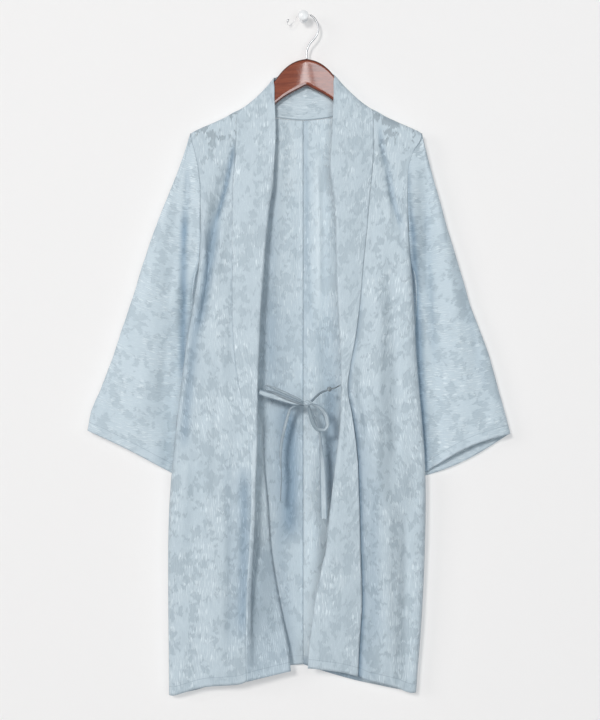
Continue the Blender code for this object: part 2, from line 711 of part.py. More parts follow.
def band_row(side, v):
    """A row of the collar band on a front, from its seam to its free edge."""
    body = BODY[side]
    sign = SIDES[side]
    top = ridge_point(side, seam_out(side, 0), 0)
    seam_height = mix(FRONT_HEM[side].read("height", 0), top[2], v)
    on_arm = settle(v)
    row = []
    for share in band_shares(side, seam_height):
        arm = ridge_point(side, mix(seam_out(side, 0), NECK_OUT[side], share), 0)
        height = mix(BAND_HEM[side].read("height", share), arm[2], v)
        section = band_section(side, height)
        x, depth = section[int(round(share * (len(section) - 1)))]
        x = body.read("seam_x", height) - sign * x
        depth = body.read("seam_depth", height) + depth
        row.append((mix(x, arm[0], on_arm), mix(depth, arm[1], on_arm), height))
    return row


def neck_row(side, blend):
    """A row of the collar behind the neck, from the centre back (0) to the arm's back (1)."""
    low = neck_line(side, blend)
    free = ridge_point(side, NECK_OUT[side] - SEAM_SHIFT, 180)
    high = (mix(0.0, free[0], blend), low[1], mix(NECK_HEIGHT + BAND_WIDTH, free[2], blend ** 1.5))
    top = ridge_point(side, seam_out(side, 0), 0)
    return [tuple(mix(a, b, share) for a, b in zip(low, high)) for share in band_shares(side, top[2])]


def collar(finish):
    """The collar band: up one front, over the hanger, round the back of the neck and down the other front."""
    halves = {}
    for side in SIDES:
        rows = [band_row(side, v) for v in row_shares(side)]
        top = ridge_point(side, seam_out(side, 0), 0)
        shares = band_shares(side, top[2])
        for angle in OVER_ANGLES:
            start = seam_out(side, angle)
            free = NECK_OUT[side] - SEAM_SHIFT * angle / 180.0
            rows.append([ridge_point(side, mix(start, free, share), angle) for share in shares])
        rows += [neck_row(side, share / NECK_SHARES[-1]) for share in reversed(NECK_SHARES[1:-1])]
        halves[side] = rows
    rows = halves["right"] + [neck_row("right", 0.0)] + list(reversed(halves["left"]))
    return sheet_piece("collar", [[place(*p) for p in row] for row in rows], finish)


def sleeve_rows(side):
    """Heights of a sleeve's rows at its inner edge: down the armhole, then down the underarm seam to the cuff."""
    armhole = list(reversed(edge_heights(side)[BODY_ROWS + 1:]))
    cuff = SLEEVE_UNDER[side].rows[0][0]
    start = UNDERARM - SLEEVE_SLIT
    below = [mix(start, cuff, k / SLEEVE_ROWS) for k in range(SLEEVE_ROWS + 1)]
    return armhole + below


def sleeve_depths(side, x, height):
    """Depth of the front and back layer of a hanging sleeve at a point of its outline."""
    away = SIDES[side] * (x - BODY[side].read("side_x", height))
    spread = max(ease((away - 3.0) / SLEEVE_SPREAD), ease((height - UNDERARM) / SLEEVE_SPREAD))
    return [mix(behind, far, spread) for behind, far in zip(SLEEVE_BEHIND, SLEEVE_FAR)]


def sleeve_root(side, height, layer):
    """Where a sleeve's layer starts: the edge of the body, moved out by the seam's gap, then the underarm seam."""
    sign = SIDES[side]
    edge_height = max(height, UNDERARM + OPENING)
    v = (edge_height - edge_heights(side)[0]) / (edge_heights(side)[-1] - edge_heights(side)[0])
    if layer > 0:
        x, depth, _ = front_point(side, 1.0, 1.0, v)
    else:
        x, depth, _ = back_point(side, back_columns(side)[-1], v)
    if height > UNDERARM + 1.0:
        turn = math.radians(BODY[side].read("turn", height))
        low = ease((UNDERARM + 2 * OPENING - height) / OPENING)
        return x + sign * (SEAM + CLOTH * 0.5 * math.sin(turn) + SLEEVE_TILT * (1 + 4 * low)), depth
    free = ease((UNDERARM - height) / SLEEVE_FREE)
    behind = SLEEVE_BEHIND[0] if layer > 0 else SLEEVE_BEHIND[1]
    return SLEEVE_UNDER[side].read("x", height), mix(depth, behind, free)


def sleeve_point(side, height, station, layer):
    """A point of a sleeve: its row's height at the inner edge, and a station from there to the top fold."""
    across = station["across"]
    sewn = height > UNDERARM + 1.0
    rows = sleeve_rows(side)
    down = (rows[0] - height) / (rows[0] - rows[-1])
    root_x, root_depth = sleeve_root(side, height, layer)
    fold_height = mix(SLEEVE_TOP[side].rows[-1][0], SLEEVE_TOP[side].rows[0][0], down)
    fold_x = SLEEVE_TOP[side].read("x", fold_height)
    x = mix(root_x, fold_x, across)
    z = mix(height, fold_height, across)
    hanging = sleeve_depths(side, x, z)[0 if layer > 0 else 1]
    leave = ease(abs(x - root_x) / SLEEVE_LEAVE)
    depth = mix(root_depth, hanging, leave)
    face = station["top_face"] if sewn else station["top_face"] * station["under_face"]
    other = mix(sleeve_root(side, height, -layer)[1], sleeve_depths(side, x, z)[1 if layer > 0 else 0], leave)
    depth = mix((depth + other) * 0.5, depth, face)
    drop = CUFF_DROP[side][0 if layer > 0 else 1]
    z -= drop * ease((down - 0.8) / 0.2) * math.sin(math.pi * across) * face
    if layer > 0:
        depth += fold_rise("sleeve_" + side, x, z) * ease(across / 0.3) * ease((1 - across) / 0.2) * ease(down / 0.1)
    return x, depth, z


def sleeve(side, finish):
    """A sleeve: a sheet from the front armhole over its top fold to the back one, closed below the underarm."""
    loop = [(station, 1) for station in SLEEVE_STATIONS] + [(station, -1) for station in SLEEVE_STATIONS[-2::-1]]
    sign = SIDES[side]
    first = []
    for station, layer in loop:
        angle = station["angle"] if layer > 0 else 180 - station["angle"]
        x, depth, height = ridge_point(side, SHOULDER_END, angle)
        first.append((x + sign * (SEAM + CLOTH * 0.5), depth, height))
    rows = [first]
    for height in sleeve_rows(side)[1:]:
        rows.append([sleeve_point(side, height, station, layer) for station, layer in loop])
    return sheet_piece("sleeve_" + side, [[place(*p) for p in row] for row in rows], finish, even=False)


def band_crease(side, height, clear):
    """Where a tie leaves the band: this clear of the band's lengthwise fold."""
    section = band_section(side, height)
    k = next((k for k in range(1, len(section)) if section[k][0] < section[k - 1][0]), len(section))
    out, depth = section[k - 1]
    x = BODY[side].read("seam_x", height) - SIDES[side] * (out + CLOTH * 0.5 + clear)
    return x, BODY[side].read("seam_depth", height) + depth


def tape(name, finish, start=None):
    """A flat tape along its table's path, turned as the table says, from a start of its own if it has one."""
    path = TAPES[name]
    count = len(path.rows) - 1
    steps = count * TAPE_STEPS
    centres = [place(*(path.read(n, k / TAPE_STEPS) for n in ("x", "depth", "height"))) for k in range(steps + 1)]
    if start is not None:
        shift = place(*start) - centres[0]
        for k in range(TAPE_STEPS * 2):
            centres[k] += shift * (1 - k / TAPE_STEPS / 2) ** 2
    rings = []
    for k, centre in enumerate(centres):
        ahead = (centres[min(k + 1, steps)] - centres[max(k - 1, 0)]).normalized()
        facing = math.radians(path.read("facing", k / TAPE_STEPS))
        level = Vector((ahead.z, 0.0, -ahead.x)).normalized()
        across = level * math.cos(facing) + Vector((0.0, 1.0, 0.0)) * math.sin(facing)
        normal = ahead.cross(across).normalized() * TAPE_THICK * 0.5 * MM
        half = across * path.read("width", k / TAPE_STEPS) * 0.5 * MM
        rings.append([centre - half - normal, centre + half - normal, centre + half + normal, centre - half + normal])
    return ring_piece(name, rings, finish, smooth_angle=60.0)


def knot(name, where, finish):
    """A small soft knot, a rounded lump."""
    shape = bmesh.new()
    bmesh.ops.create_uvsphere(shape, u_segments=12, v_segments=8, radius=0.5)
    centre = Vector((where["x"], where["depth"], where["height"]))
    for vert in shape.verts:
        offset = [a * b for a, b in zip(vert.co, where["size"])]
        vert.co = place(centre.x + offset[0], centre.y - offset[1], centre.z + offset[2])
    bmesh.ops.recalc_face_normals(shape, faces=shape.faces)
    return finish_mesh(name, shape, finish, 180.0)


def wire_piece(name, points, diameter, finish, sides):
    """A round wire of so many sides along points in one plane or nearly so."""
    rings = []
    for k, point in enumerate(points):
        ahead = (points[min(k + 1, len(points) - 1)] - points[max(k - 1, 0)]).normalized()
        first = Vector((0.0, 1.0, 0.0))
        first = (first - ahead * first.dot(ahead)).normalized()
        second = ahead.cross(first)
        turns = [2 * math.pi * (i + 0.5) / sides for i in range(sides)]
        rings.append([point + (first * math.cos(a) + second * math.sin(a)) * diameter * 0.5 * MM for a in turns])
    return ring_piece(name, rings, finish, smooth_angle=60.0)


def smooth_line(points, per_span):
    """Points on a rounded line through the given ones (Catmull-Rom)."""
    line = []
    for i in range(len(points) - 1):
        p0, p1, p2, p3 = points[max(i - 1, 0)], points[i], points[i + 1], points[min(i + 2, len(points) - 1)]
        for k in range(per_span):
            t = k / per_span
            line.append(0.5 * (2 * p1 + (p2 - p0) * t + (2 * p0 - 5 * p1 + 4 * p2 - p3) * t ** 2
                               + (3 * p1 - p0 - 3 * p2 + p3) * t ** 3))
    line.append(points[-1])
    return line


def chi(finish):
    """The thread loop that joins the left tie's small knot to the band."""
    x, depth = band_crease("left", TIE_HEIGHT["left"], CHI_WIRE * 0.5)
    points = [place(p["x"], p["depth"], p["z"]) for p in CHI_PATH] + [place(x, depth, TIE_HEIGHT["left"])]
    return wire_piece("tie_left_chi", smooth_line(points, 2), CHI_WIRE, finish, sides=6)


def hanger_wood(finish):
    """The shaped wooden bar: rounded sections from one arm's tip to the other's."""
    stations = [-out for out in reversed(WOOD_STATIONS[1:])] + list(WOOD_STATIONS)
    rings = []
    for out in stations:
        top, bottom = (HANGER.read(n, abs(out)) for n in ("top", "bottom"))
        tip = min((ARM_END + 3.0 - abs(out)) / 12.0, 1.0)
        narrow = math.sqrt(max(1 - (1 - tip) ** 2, 0.05))
        middle = (top + bottom) * 0.5
        half_height = (top - bottom) * 0.5 * narrow
        half_thick = HANGER_THICK * 0.5 * mix(0.6, 1.0, narrow)
        corner = min(half_thick * 2.2, half_height)
        ring = []
        for k in range(WOOD_SIDES):
            turn = 2 * math.pi * (k + 0.5) / WOOD_SIDES
            c, s = math.cos(turn), math.sin(turn)
            round_x = math.copysign(abs(c) ** WOOD_SQUARE, c)
            round_z = math.copysign(abs(s) ** WOOD_SQUARE, s)
            z = middle + round_z * corner + math.copysign(half_height - corner, s)
            ring.append(place(HANGER_X + out, HANGER_DEPTH + half_thick * round_x, z))
        rings.append(ring)
    return ring_piece("hanger_wood", rings, finish, smooth_angle=45.0)


def wall_peg(finish):
    """The round peg: a foot on the wall, a stem and a flat head, turned about Y."""
    profile = (
        (0.0, 0.0),
        (PEG_FOOT * 0.5, 0.0),
        (PEG_FOOT * 0.5, 2.0),
        (PEG_STEM * 0.5, 3.0),
        (PEG_STEM * 0.5, PEG_REACH - PEG_HEAD_THICK),
        (PEG_HEAD * 0.5 - 0.6, PEG_REACH - PEG_HEAD_THICK),
        (PEG_HEAD * 0.5, PEG_REACH - PEG_HEAD_THICK + 0.6),
        (PEG_HEAD * 0.5, PEG_REACH - 1.0),
        (PEG_HEAD * 0.5 - 1.0, PEG_REACH),
        (0.0, PEG_REACH),
    )
    shape = bmesh.new()
    verts = [shape.verts.new(place(radius, depth, 0.0)) for radius, depth in profile]
    edges = [shape.edges.new(pair) for pair in zip(verts, verts[1:])]
    bmesh.ops.spin(shape, geom=verts + edges, cent=(0, 0, 0), axis=(0, 1, 0), angle=2 * math.pi, steps=24,
                   use_merge=True)
    bmesh.ops.remove_doubles(shape, verts=shape.verts, dist=1e-6)
    bmesh.ops.recalc_face_normals(shape, faces=shape.faces)
    return finish_mesh("wall_peg", shape, finish, 30.0)


def main():
    for old in list(bpy.data.objects):
        bpy.data.objects.remove(old, do_unlink=True)
    cloth = material("pale_blue_cloth", (0.60, 0.70, 0.77), 0.75)
    wood = material("mahogany_wood", (0.25, 0.06, 0.03), 0.25)
    steel = material("hook_steel", (0.85, 0.85, 0.86), 0.2, 1.0)
    white = material("white_paint", (0.9, 0.9, 0.9), 0.4)
    for side in SIDES:
        front_panel(side, cloth)
        back_panel(side, cloth)
        sleeve(side, cloth)
    collar(cloth)
    ties = {name: None for name in TAPES}
    x, depth = band_crease("right", TIE_HEIGHT["right"], TAPE_THICK * 1.7)
    ties["tie_right_strap"] = (x, depth, TIE_HEIGHT["right"])
    for name, start in ties.items():
        tape(name, cloth, start)
    knot("tie_knot", KNOT, cloth)
    knot("tie_left_stop", STOP, cloth)
    chi(cloth)
    hanger_wood(wood)
    hook = smooth_line([place(p["x"], HANGER_DEPTH, p["z"]) for p in HOOK_PATH], 3)
    wire_piece("hanger_hook", hook, HOOK_WIRE, steel, sides=8)
    wall_peg(white)


main()
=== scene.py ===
# %% [markdown]
# # A sheer haori on a wooden hanger
# This lesson dresses a haori, the open jacket that is worn over a kimono. It hangs on a shaped hanger from a wall
# peg. The solids come from a CAD frame, in metres, with the wall as the plane Y = 0, the garment facing -Y, the
# wearer's left at +X and Z up. Each step makes one piece or one finish, says what it is on the real garment, and
# why it is made the way it is.

# %% Load the frame
import math

import bmesh
import bpy
import numpy as np
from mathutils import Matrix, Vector, noise


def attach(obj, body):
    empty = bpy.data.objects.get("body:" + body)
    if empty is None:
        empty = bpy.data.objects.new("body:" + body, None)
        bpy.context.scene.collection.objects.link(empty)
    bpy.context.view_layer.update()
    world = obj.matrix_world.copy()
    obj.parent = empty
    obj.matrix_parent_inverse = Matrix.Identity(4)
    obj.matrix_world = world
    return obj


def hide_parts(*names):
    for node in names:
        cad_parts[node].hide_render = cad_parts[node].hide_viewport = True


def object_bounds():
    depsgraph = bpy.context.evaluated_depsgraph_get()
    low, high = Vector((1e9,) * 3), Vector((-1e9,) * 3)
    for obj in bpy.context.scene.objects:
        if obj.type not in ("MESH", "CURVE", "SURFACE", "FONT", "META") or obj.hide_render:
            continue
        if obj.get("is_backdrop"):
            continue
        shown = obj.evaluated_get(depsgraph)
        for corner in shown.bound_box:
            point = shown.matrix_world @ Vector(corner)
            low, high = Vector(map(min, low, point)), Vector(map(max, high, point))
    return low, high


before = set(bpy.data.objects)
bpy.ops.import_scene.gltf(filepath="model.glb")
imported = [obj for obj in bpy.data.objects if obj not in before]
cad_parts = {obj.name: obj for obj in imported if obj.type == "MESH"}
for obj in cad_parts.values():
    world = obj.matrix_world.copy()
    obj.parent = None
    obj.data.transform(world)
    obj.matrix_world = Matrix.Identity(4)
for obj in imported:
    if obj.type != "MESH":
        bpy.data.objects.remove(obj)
solid_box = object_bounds()
print("solids:", len(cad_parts), "lowest and highest corner:", [tuple(round(c, 3) for c in v) for v in solid_box])

# %% [markdown]
# The camera comes first, because every piece is judged through it. A long lens from three metres keeps the garment
# flat, as a shop's photographer would. It looks straight at the wall, level with the middle of the garment.

# %% Camera
camera_data = bpy.data.cameras.new("camera")
camera_data.lens = 83.3
camera_data.sensor_width = 36.0
camera = bpy.data.objects.new("camera", camera_data)
camera.location = (-0.0061, -3.040, -0.6225)
camera.rotation_euler = (math.radians(90), 0, 0)
bpy.context.scene.collection.objects.link(camera)
bpy.context.scene.camera = camera
print("camera distance:", round(-camera.location.y, 2), "m, lens", round(camera_data.lens, 1), "mm")

# %% [markdown]
# Every size is in millimetres and stands in a table, a row for each height or station, as a pattern cutter's
# measurements would. Between its rows a table is read along a soft curve that never overshoots. The tables are those
# of the solids, all but the left back's hem and the band's edge on the wood, so the cloth lies where the solids are.

# %% Sizes and the reading of tables
MM = 0.001

# Cloth and seams
CLOTH = 1.5             # wall of every cloth piece
SEAM = 0.7              # between two pieces that are sewn together
BAND_WIDTH = 77.0       # collar band at the neck
BAND_BEND = 14.0        # length of cloth in each lengthwise bend of the band
BODY_ROWS = 18          # rows of a panel from the hem to the underarm

# Hanger and peg
HANGER_X = 5.2          # middle of the hanger, beside the peg
HANGER_DEPTH = 20.0     # its middle plane, in front of the wall
HANGER_THICK = 14.0
HANGER_LIFT = 2.1       # cloth's middle surface above the wood's top edge
HOOK_WIRE = 3.4         # diameter
PEG_STEM = 6.0          # diameter
PEG_HEAD = 18.8         # diameter
PEG_FOOT = 16.0         # diameter
PEG_REACH = 34.0        # wall to the front of the head
PEG_HEAD_THICK = 4.0

# The cloth goes over the hanger's arm on a round ridge
RIDGE_RADIUS = 8.85     # of the cloth's middle surface about the ridge line
RIDGE_DROP = RIDGE_RADIUS - HANGER_LIFT
SEAM_SHIFT = 17.0       # how far the collar's seam moves towards the neck as it goes over the ridge
ARM_END = 205.0         # end of the wooden arm, from the hanger's middle
SHOULDER_END = 208.0    # sleeve seam on the ridge, from the hanger's middle
SEAM_OUT = {"right": 126.0, "left": 122.0}      # collar seam on the ridge's front, from the hanger's middle
NECK_OUT = {"right": 58.0, "left": 50.0}        # the band's free edge there
NECK_HEIGHT = -187.0    # collar seam at the centre back
NECK_DEPTH = 11.15

# Columns and rows of the walls
FRONT_SHARES = (0.0, 0.08, 0.20, 0.34, 0.48, 0.62, 0.76, 0.89, 1.0)
ROLL_STEPS = (0.34, 0.67, 1.0)          # round the side
NECK_SHARES = (0.0, 0.11, 0.22, 0.34, 0.455)
CROSS_ANGLES = (180, 150, 120, 90)      # where the collar's seam goes over the arm
CROSS_STEP = 0.035
BACK_SHOULDER = (0.70, 0.85, 1.0)
ARM_ANGLES = (30, 60, 87)
OVER_ANGLES = (30, 60, 90, 120, 150, 180)
ARMHOLE = (0.0, 0.10, 0.22, 0.36, 0.50, 0.64, 0.77, 0.88, 0.95, 1.0)
OPENING = 14.0          # height above the underarm over which the armhole opens
ROLL_ABOVE = 3.0        # radius of the back's side above that
BEND_SHARE = 0.09       # half the band's fold, as a share of its width
BAND_START = 0.05       # least share of it before the fold
BAND_FLAT = 3
BAND_CURVE = 5
BAND_REST = 4
SLEEVE_TILT = 0.3       # extra gap at the sleeve seam, where the sleeve leans outwards
WOOD_SQUARE = 0.42      # how square its section is, from 0 for a box to 1 for an oval


class Table:
    """Rows of numbers under named columns, read between its rows along the first column."""

    def __init__(self, columns, *rows):
        self.names = columns.split()
        self.rows = np.array(sorted(rows), dtype=float)

    def read(self, name, key):
        keys = self.rows[:, 0]
        values = self.rows[:, self.names.index(name)]
        key = min(max(key, keys[0]), keys[-1])
        i = min(int(np.searchsorted(keys, key, side="right")) - 1, len(keys) - 2)
        span = keys[i + 1] - keys[i]
        t = (key - keys[i]) / span
        slopes = [self.slope(keys, values, k) for k in (i, i + 1)]
        a = 2 * t ** 3 - 3 * t ** 2 + 1
        b = t ** 3 - 2 * t ** 2 + t
        c = t ** 3 - t ** 2
        return float(a * values[i] + (1 - a) * values[i + 1] + span * (b * slopes[0] + c * slopes[1]))

    @staticmethod
    def slope(keys, values, k):
        """Slope at row k, flat where the column turns, so that a curve never overshoots its rows."""
        if k in (0, len(keys) - 1):
            return 0.0 if len(keys) > 2 else (values[-1] - values[0]) / (keys[-1] - keys[0])
        before = (values[k] - values[k - 1]) / (keys[k] - keys[k - 1])
        after = (values[k + 1] - values[k]) / (keys[k + 1] - keys[k])
        return 0.0 if before * after <= 0 else 2 * before * after / (before + after)


def both(columns, right, left):
    """A table with the same columns for each side of the garment."""
    return {"right": Table(columns, *right), "left": Table(columns, *left)}


def named(columns, *rows):
    """Rows as dictionaries. A row may stop before the last columns."""
    return [dict(zip(columns.split(), row)) for row in rows]


def folds(*rows):
    """Folds: a line from (x1, z1) to (x2, z2), its width and rise, and for some how far it bows and its painted shade.
    """
    return named("x1 z1 x2 z2 width rise bow shade", *rows)


print("cloth wall of the solids:", CLOTH, "mm, band width:", BAND_WIDTH, "mm")

# %% [markdown]
# The tables follow: the hanger's outline, the edges of the body seen from the front, the hems, the long collar
# band with its lengthwise bends, and the sleeves.

# %% Tables of the garment
# Wooden hanger: height of its top and bottom edge, by the distance from its middle
HANGER = Table(
    "out top bottom",
    (0, -77.4, -126.5), (12, -79.4, -132.0), (25, -84.6, -138.5), (38, -94.0, -146.0), (47, -103.5, -152.5),
    (56, -115.5, -159.5), (76, -138.0, -174.0), (103, -161.5, -192.5), (119, -171.5, -201.5),
    (158, -191.0, -220.0), (182, -201.5, -229.5), (198, -208.5, -235.0), (205, -213.5, -234.0),
)

# Body seen from the front, by height: the collar seam and the sleeve or side seam, with their depths, and how the
# side of the front and of the back rolls round to the seam (radius in mm, turn in degrees)
BODY = both(
    "height seam_x side_x seam_depth side_depth back_depth roll_front turn",
    right=(
        (-1232, -100.5, -243.0, 44, 30, 10, 8.0, 90), (-1146, -103.0, -243.5, 47, 31, 10, 8.0, 90),
        (-1054, -102.0, -244.4, 53, 33, 11, 9.0, 90), (-968, -97.5, -244.4, 59, 36, 13, 10.0, 90),
        (-874, -93.5, -241.5, 62, 38, 17, 10.5, 90), (-793, -94.5, -234.0, 60, 40, 19, 11.0, 90),
        (-730, -103.0, -228.0, 57, 41, 19, 11.5, 90), (-658, -117.5, -219.0, 51, 42, 19, 12.0, 90),
        (-586, -126.0, -210.0, 45, 42, 19, 12.5, 90), (-514, -128.5, -197.5, 41, 41, 19, 12.0, 90),
        (-456, -128.5, -189.0, 38, 40, 18, 11.0, 90), (-400, -128.5, -186.0, 35, 38, 16, 8.0, 70),
        (-320, -128.5, -185.5, 32, 35, 14, 5.0, 50), (-262, -127.5, -192.0, 30.5, 31, 12.5, 4.0, 25),
        (-240, -125.5, -196.5, 29.6, 29.4, 11.6, 3.0, 8), (-220, -124.0, -202.8, 29.0, 29.0, 11.3, 3.0, 0),
        (-190, -121.0, -203.0, 28.85, 28.85, 11.15, 3.0, 0),
    ),
    left=(
        (-1232, 97.5, 204.0, 44, 30, 10, 8.0, 90), (-1146, 100.0, 210.0, 46, 31, 10, 8.0, 90),
        (-1054, 105.0, 216.0, 49, 33, 11, 9.0, 90), (-968, 102.5, 219.5, 53, 36, 13, 10.0, 90),
        (-874, 100.0, 221.0, 57, 38, 17, 10.5, 90), (-793, 96.5, 219.0, 58, 40, 19, 11.0, 90),
        (-730, 88.5, 214.0, 57, 41, 19, 11.5, 90), (-668, 79.0, 208.5, 53, 42, 19, 12.0, 90),
        (-602, 90.5, 203.5, 47, 42, 19, 12.5, 90), (-514, 102.5, 199.5, 42, 41, 19, 12.0, 90),
        (-456, 108.0, 195.0, 38, 40, 18, 11.0, 90), (-400, 114.0, 190.5, 35, 38, 16, 8.0, 70),
        (-320, 121.0, 188.0, 32, 35, 14, 5.0, 50), (-262, 126.0, 191.0, 30.5, 31, 12.5, 4.0, 25),
        (-240, 126.8, 199.5, 29.6, 29.4, 11.6, 3.0, 8), (-220, 127.0, 213.2, 29.0, 29.0, 11.3, 3.0, 0),
        (-190, 127.0, 213.0, 28.85, 28.85, 11.15, 3.0, 0),
    ),
)

# Hems, by the share of the panel's width from the collar seam, or from the centre-back seam
FRONT_HEM = both(
    "share height",
    right=((0, -1201), (0.1, -1206), (0.55, -1212), (0.85, -1223), (1, -1229)),
    left=((0, -1192), (0.15, -1199), (0.35, -1204), (0.7, -1213), (1, -1224)),
)
BACK_HEM = both(
    "share height",
    right=((0, -1176), (0.35, -1190), (0.7, -1212), (1, -1229)),
    left=((0, -1176), (0.06, -1180), (0.2, -1189), (0.5, -1205), (0.8, -1217), (1, -1224)),
)

# Collar band seen from the front, by height: how much cloth shows before the first lengthwise bend, how far the
# band turns there, the run up to the second bend, and how far it turns back
BAND = both(
    "height shown first_turn run second_turn width",
    right=(
        (-1204, 4, 4, 14, -2, 80), (-1146, 5, 45, 14, -37, 80), (-1092, 6, 78, 18, -61, 80),
        (-1022, 7, 100, 24, -80, 79), (-968, 7.5, 112, 27, -86, 78), (-874, 8, 125, 31, -102, 77),
        (-793, 13, 128, 34, -104, 77), (-730, 22, 142, 28, -122, 77), (-658, 38, 160, 26, -60, 77),
        (-586, 49, 160, 28, 0, 77), (-514, 55, 158, 26, 0, 77), (-442, 60, 152, 30, 0, 77),
        (-352, 68, 140, 30, 0, 77), (-291, 75, 90, 30, 0, 75), (-228, 75, 0, 30, 0, 75), (-150, 75, 0, 30, 0, 75),
    ),
    left=(
        (-1204, 92, 10, 30, 0, 92), (-1146, 88, 20, 30, 0, 90), (-1077, 82, 40, 30, 0, 87),
        (-1022, 76, 80, 30, 0, 85), (-957, 62, 140, 26, 0, 82), (-896, 55, 152, 28, 0, 80),
        (-806, 41, 156, 28, 0, 78), (-730, 24, 160, 28, 0, 77), (-668, 12, 162, 28, 0, 77),
        (-602, 26, 162, 28, 0, 77), (-514, 42, 158, 28, 0, 77), (-424, 54, 150, 28, 0, 77),
        (-334, 65, 130, 28, 0, 77), (-270, 77, 60, 28, 0, 77), (-228, 77, 0, 28, 0, 77), (-150, 77, 0, 28, 0, 77),
    ),
)
BAND_HEM = both(
    "share height",
    right=((0, -1201), (1, -1183)),
    left=((0, -1192), (0.3, -1184), (0.6, -1180), (1, -1176)),
)
BAND_SLOPE = 8.0        # degrees that the band stands forward of the panel as it leaves the seam

FOLD_FADE = 90.0        # length over which a fold starts and ends
FOLD_START = 0.35       # how much of it shows at its very end
FOLDS_END_AT_SIDE = 0.15        # share of a panel's width over which its folds end at its side
FOLDS_END_AT_BAND = 0.18        # the same at the collar seam

CENTRE_BACK = Table("height depth", (-1232, 9), (-1050, 6), (-880, 6), (-640, 8), (-300, 9.5), (-187, 11.15))

# Sleeves, by height: the top fold, and the underarm seam down to the cuff
SLEEVE_TOP = both(
    "height x",
    right=(
        (-211.6, -204.5), (-233, -211.3), (-287, -230.2), (-351, -256.0), (-424, -282.0), (-550, -323.0),
        (-649, -357.0), (-750, -391.5),
    ),
    left=(
        (-211.6, 214.5), (-231.5, 218.9), (-267, 229.0), (-330, 245.9), (-383, 260.3), (-438, 277.4),
        (-525, 303.5), (-635, 343.1), (-694, 357.5), (-756, 375.5),
    ),
)
SLEEVE_UNDER = both(
    "height x",
    right=((-456, -194.2), (-486, -200.5), (-522, -203.0), (-575, -202.5), (-680, -206.5), (-838, -222.0)),
    left=((-456, 200.2), (-486, 205.5), (-522, 206.0), (-575, 202.0), (-680, 199.0), (-838, 206.0)),
)
UNDERARM = -456.0              # height where the sleeve seam ends and the side seam starts
SLEEVE_ROWS = 9                # below the underarm
SLEEVE_SLIT = 8.0              # how far below the underarm the sleeve closes to a tube
SLEEVE_FAR = (28.0, 8.0)       # depth of the front and back layer away from the body
SLEEVE_BEHIND = (12.2, 3.6)    # the same where the sleeve hangs behind the body
SLEEVE_SPREAD = 40.0           # distance over which it goes from one to the other
SLEEVE_LEAVE = 26.0            # distance over which it leaves the depth of the armhole's edge
SLEEVE_FREE = 60.0             # height below the underarm over which its seam goes behind the body
CUFF_DROP = {"right": (-4.0, -3.0), "left": (-13.0, 10.0)}    # front and back cuff edge below a straight line
SLEEVE_STATIONS = named(
    "angle across under_face top_face",
    (0, 0.00, 0.00, 1.00), (6, 0.05, 0.70, 1.00), (12, 0.13, 1.00, 1.00), (19, 0.27, 1.00, 1.00),
    (27, 0.43, 1.00, 1.00), (36, 0.60, 1.00, 1.00), (46, 0.77, 1.00, 1.00), (58, 0.91, 1.00, 1.00),
    (74, 0.98, 1.00, 0.65), (90, 1.00, 1.00, 0.00),
)

print("rows for the right front:", len(BODY["right"].rows), "and for its band:", len(BAND["right"].rows))

# %% [markdown]
# Soft folds are listed: where each one's line starts and ends, how wide it is, and how far it stands forward
# or falls back. These are the large folds of the solids. The finer creases that light picks out, of uneven length
# and depth, stand beside each piece.

# %% Tables of the folds
FOLDS = {
    "front_right": folds(
        (-128, -232, -160, -385, 9, -6), (-150, -300, -186, -560, 12, -7), (-172, -600, -192, -1000, 16, -5),
        (-150, -560, -150, -1190, 16, 5), (-112, -700, -118, -1150, 10, -6), (-214, -800, -216, -1200, 12, 4),
    ),
    "front_left": folds(
        (137, -205, 176, -390, 9, -6), (160, -420, 168, -820, 14, -5), (136, -480, 128, -880, 14, 5),
        (108, -640, 116, -1150, 10, -6), (150, -860, 158, -1200, 16, 5), (186, -900, 184, -1200, 12, -4),
    ),
    "back_right": folds(
        (-26, -640, -22, -1080, 12, 3), (-62, -420, -70, -1180, 18, -2), (-120, -380, -128, -1180, 20, -4),
        (-170, -600, -180, -1200, 18, 5),
    ),
    "back_left": folds(
        (12, -560, 14, -1150, 15, 8), (52, -420, 56, -1180, 18, -4), (104, -380, 110, -1180, 20, 6),
        (152, -600, 156, -1200, 18, -4),
    ),
    "sleeve_right": folds(
        (-222, -330, -262, -760, 14, -5), (-262, -420, -318, -760, 18, 4),
    ),
    "sleeve_left": folds(
        (222, -290, 236, -740, 14, -6), (250, -360, 300, -740, 18, 4),
    ),
}

# %% [markdown]
# The shape of each piece is a function of two shares: how far across the cut, and how far up it. These are the same
# steps that a cutter would describe: the edge, the roll round the side, the way over the hanger's arm.

# %% Shape functions
SIDES = {"right": -1.0, "left": 1.0}


def place(x, depth, height):
    """A point from millimetres across, in front of the wall and up."""
    return Vector((x * MM, -depth * MM, height * MM))


def mix(a, b, share):
    return a + (b - a) * share


def ease(value):
    """0 to 1 with soft ends."""
    value = min(max(value, 0.0), 1.0)
    return value * value * (3 - 2 * value)


def fold_rise(name, x, height):
    """How far the folds of a piece move this point forward."""
    total = 0.0
    for fold in FOLDS.get(name, ()):
        length = fold["z1"] - fold["z2"]
        along = (fold["z1"] - height) / length
        inside = min(along, 1 - along) * length / FOLD_FADE
        line = mix(fold["x1"], fold["x2"], along)
        total += fold["rise"] * ease(inside + FOLD_START) * math.exp(-((x - line) / fold["width"]) ** 2)
    return total


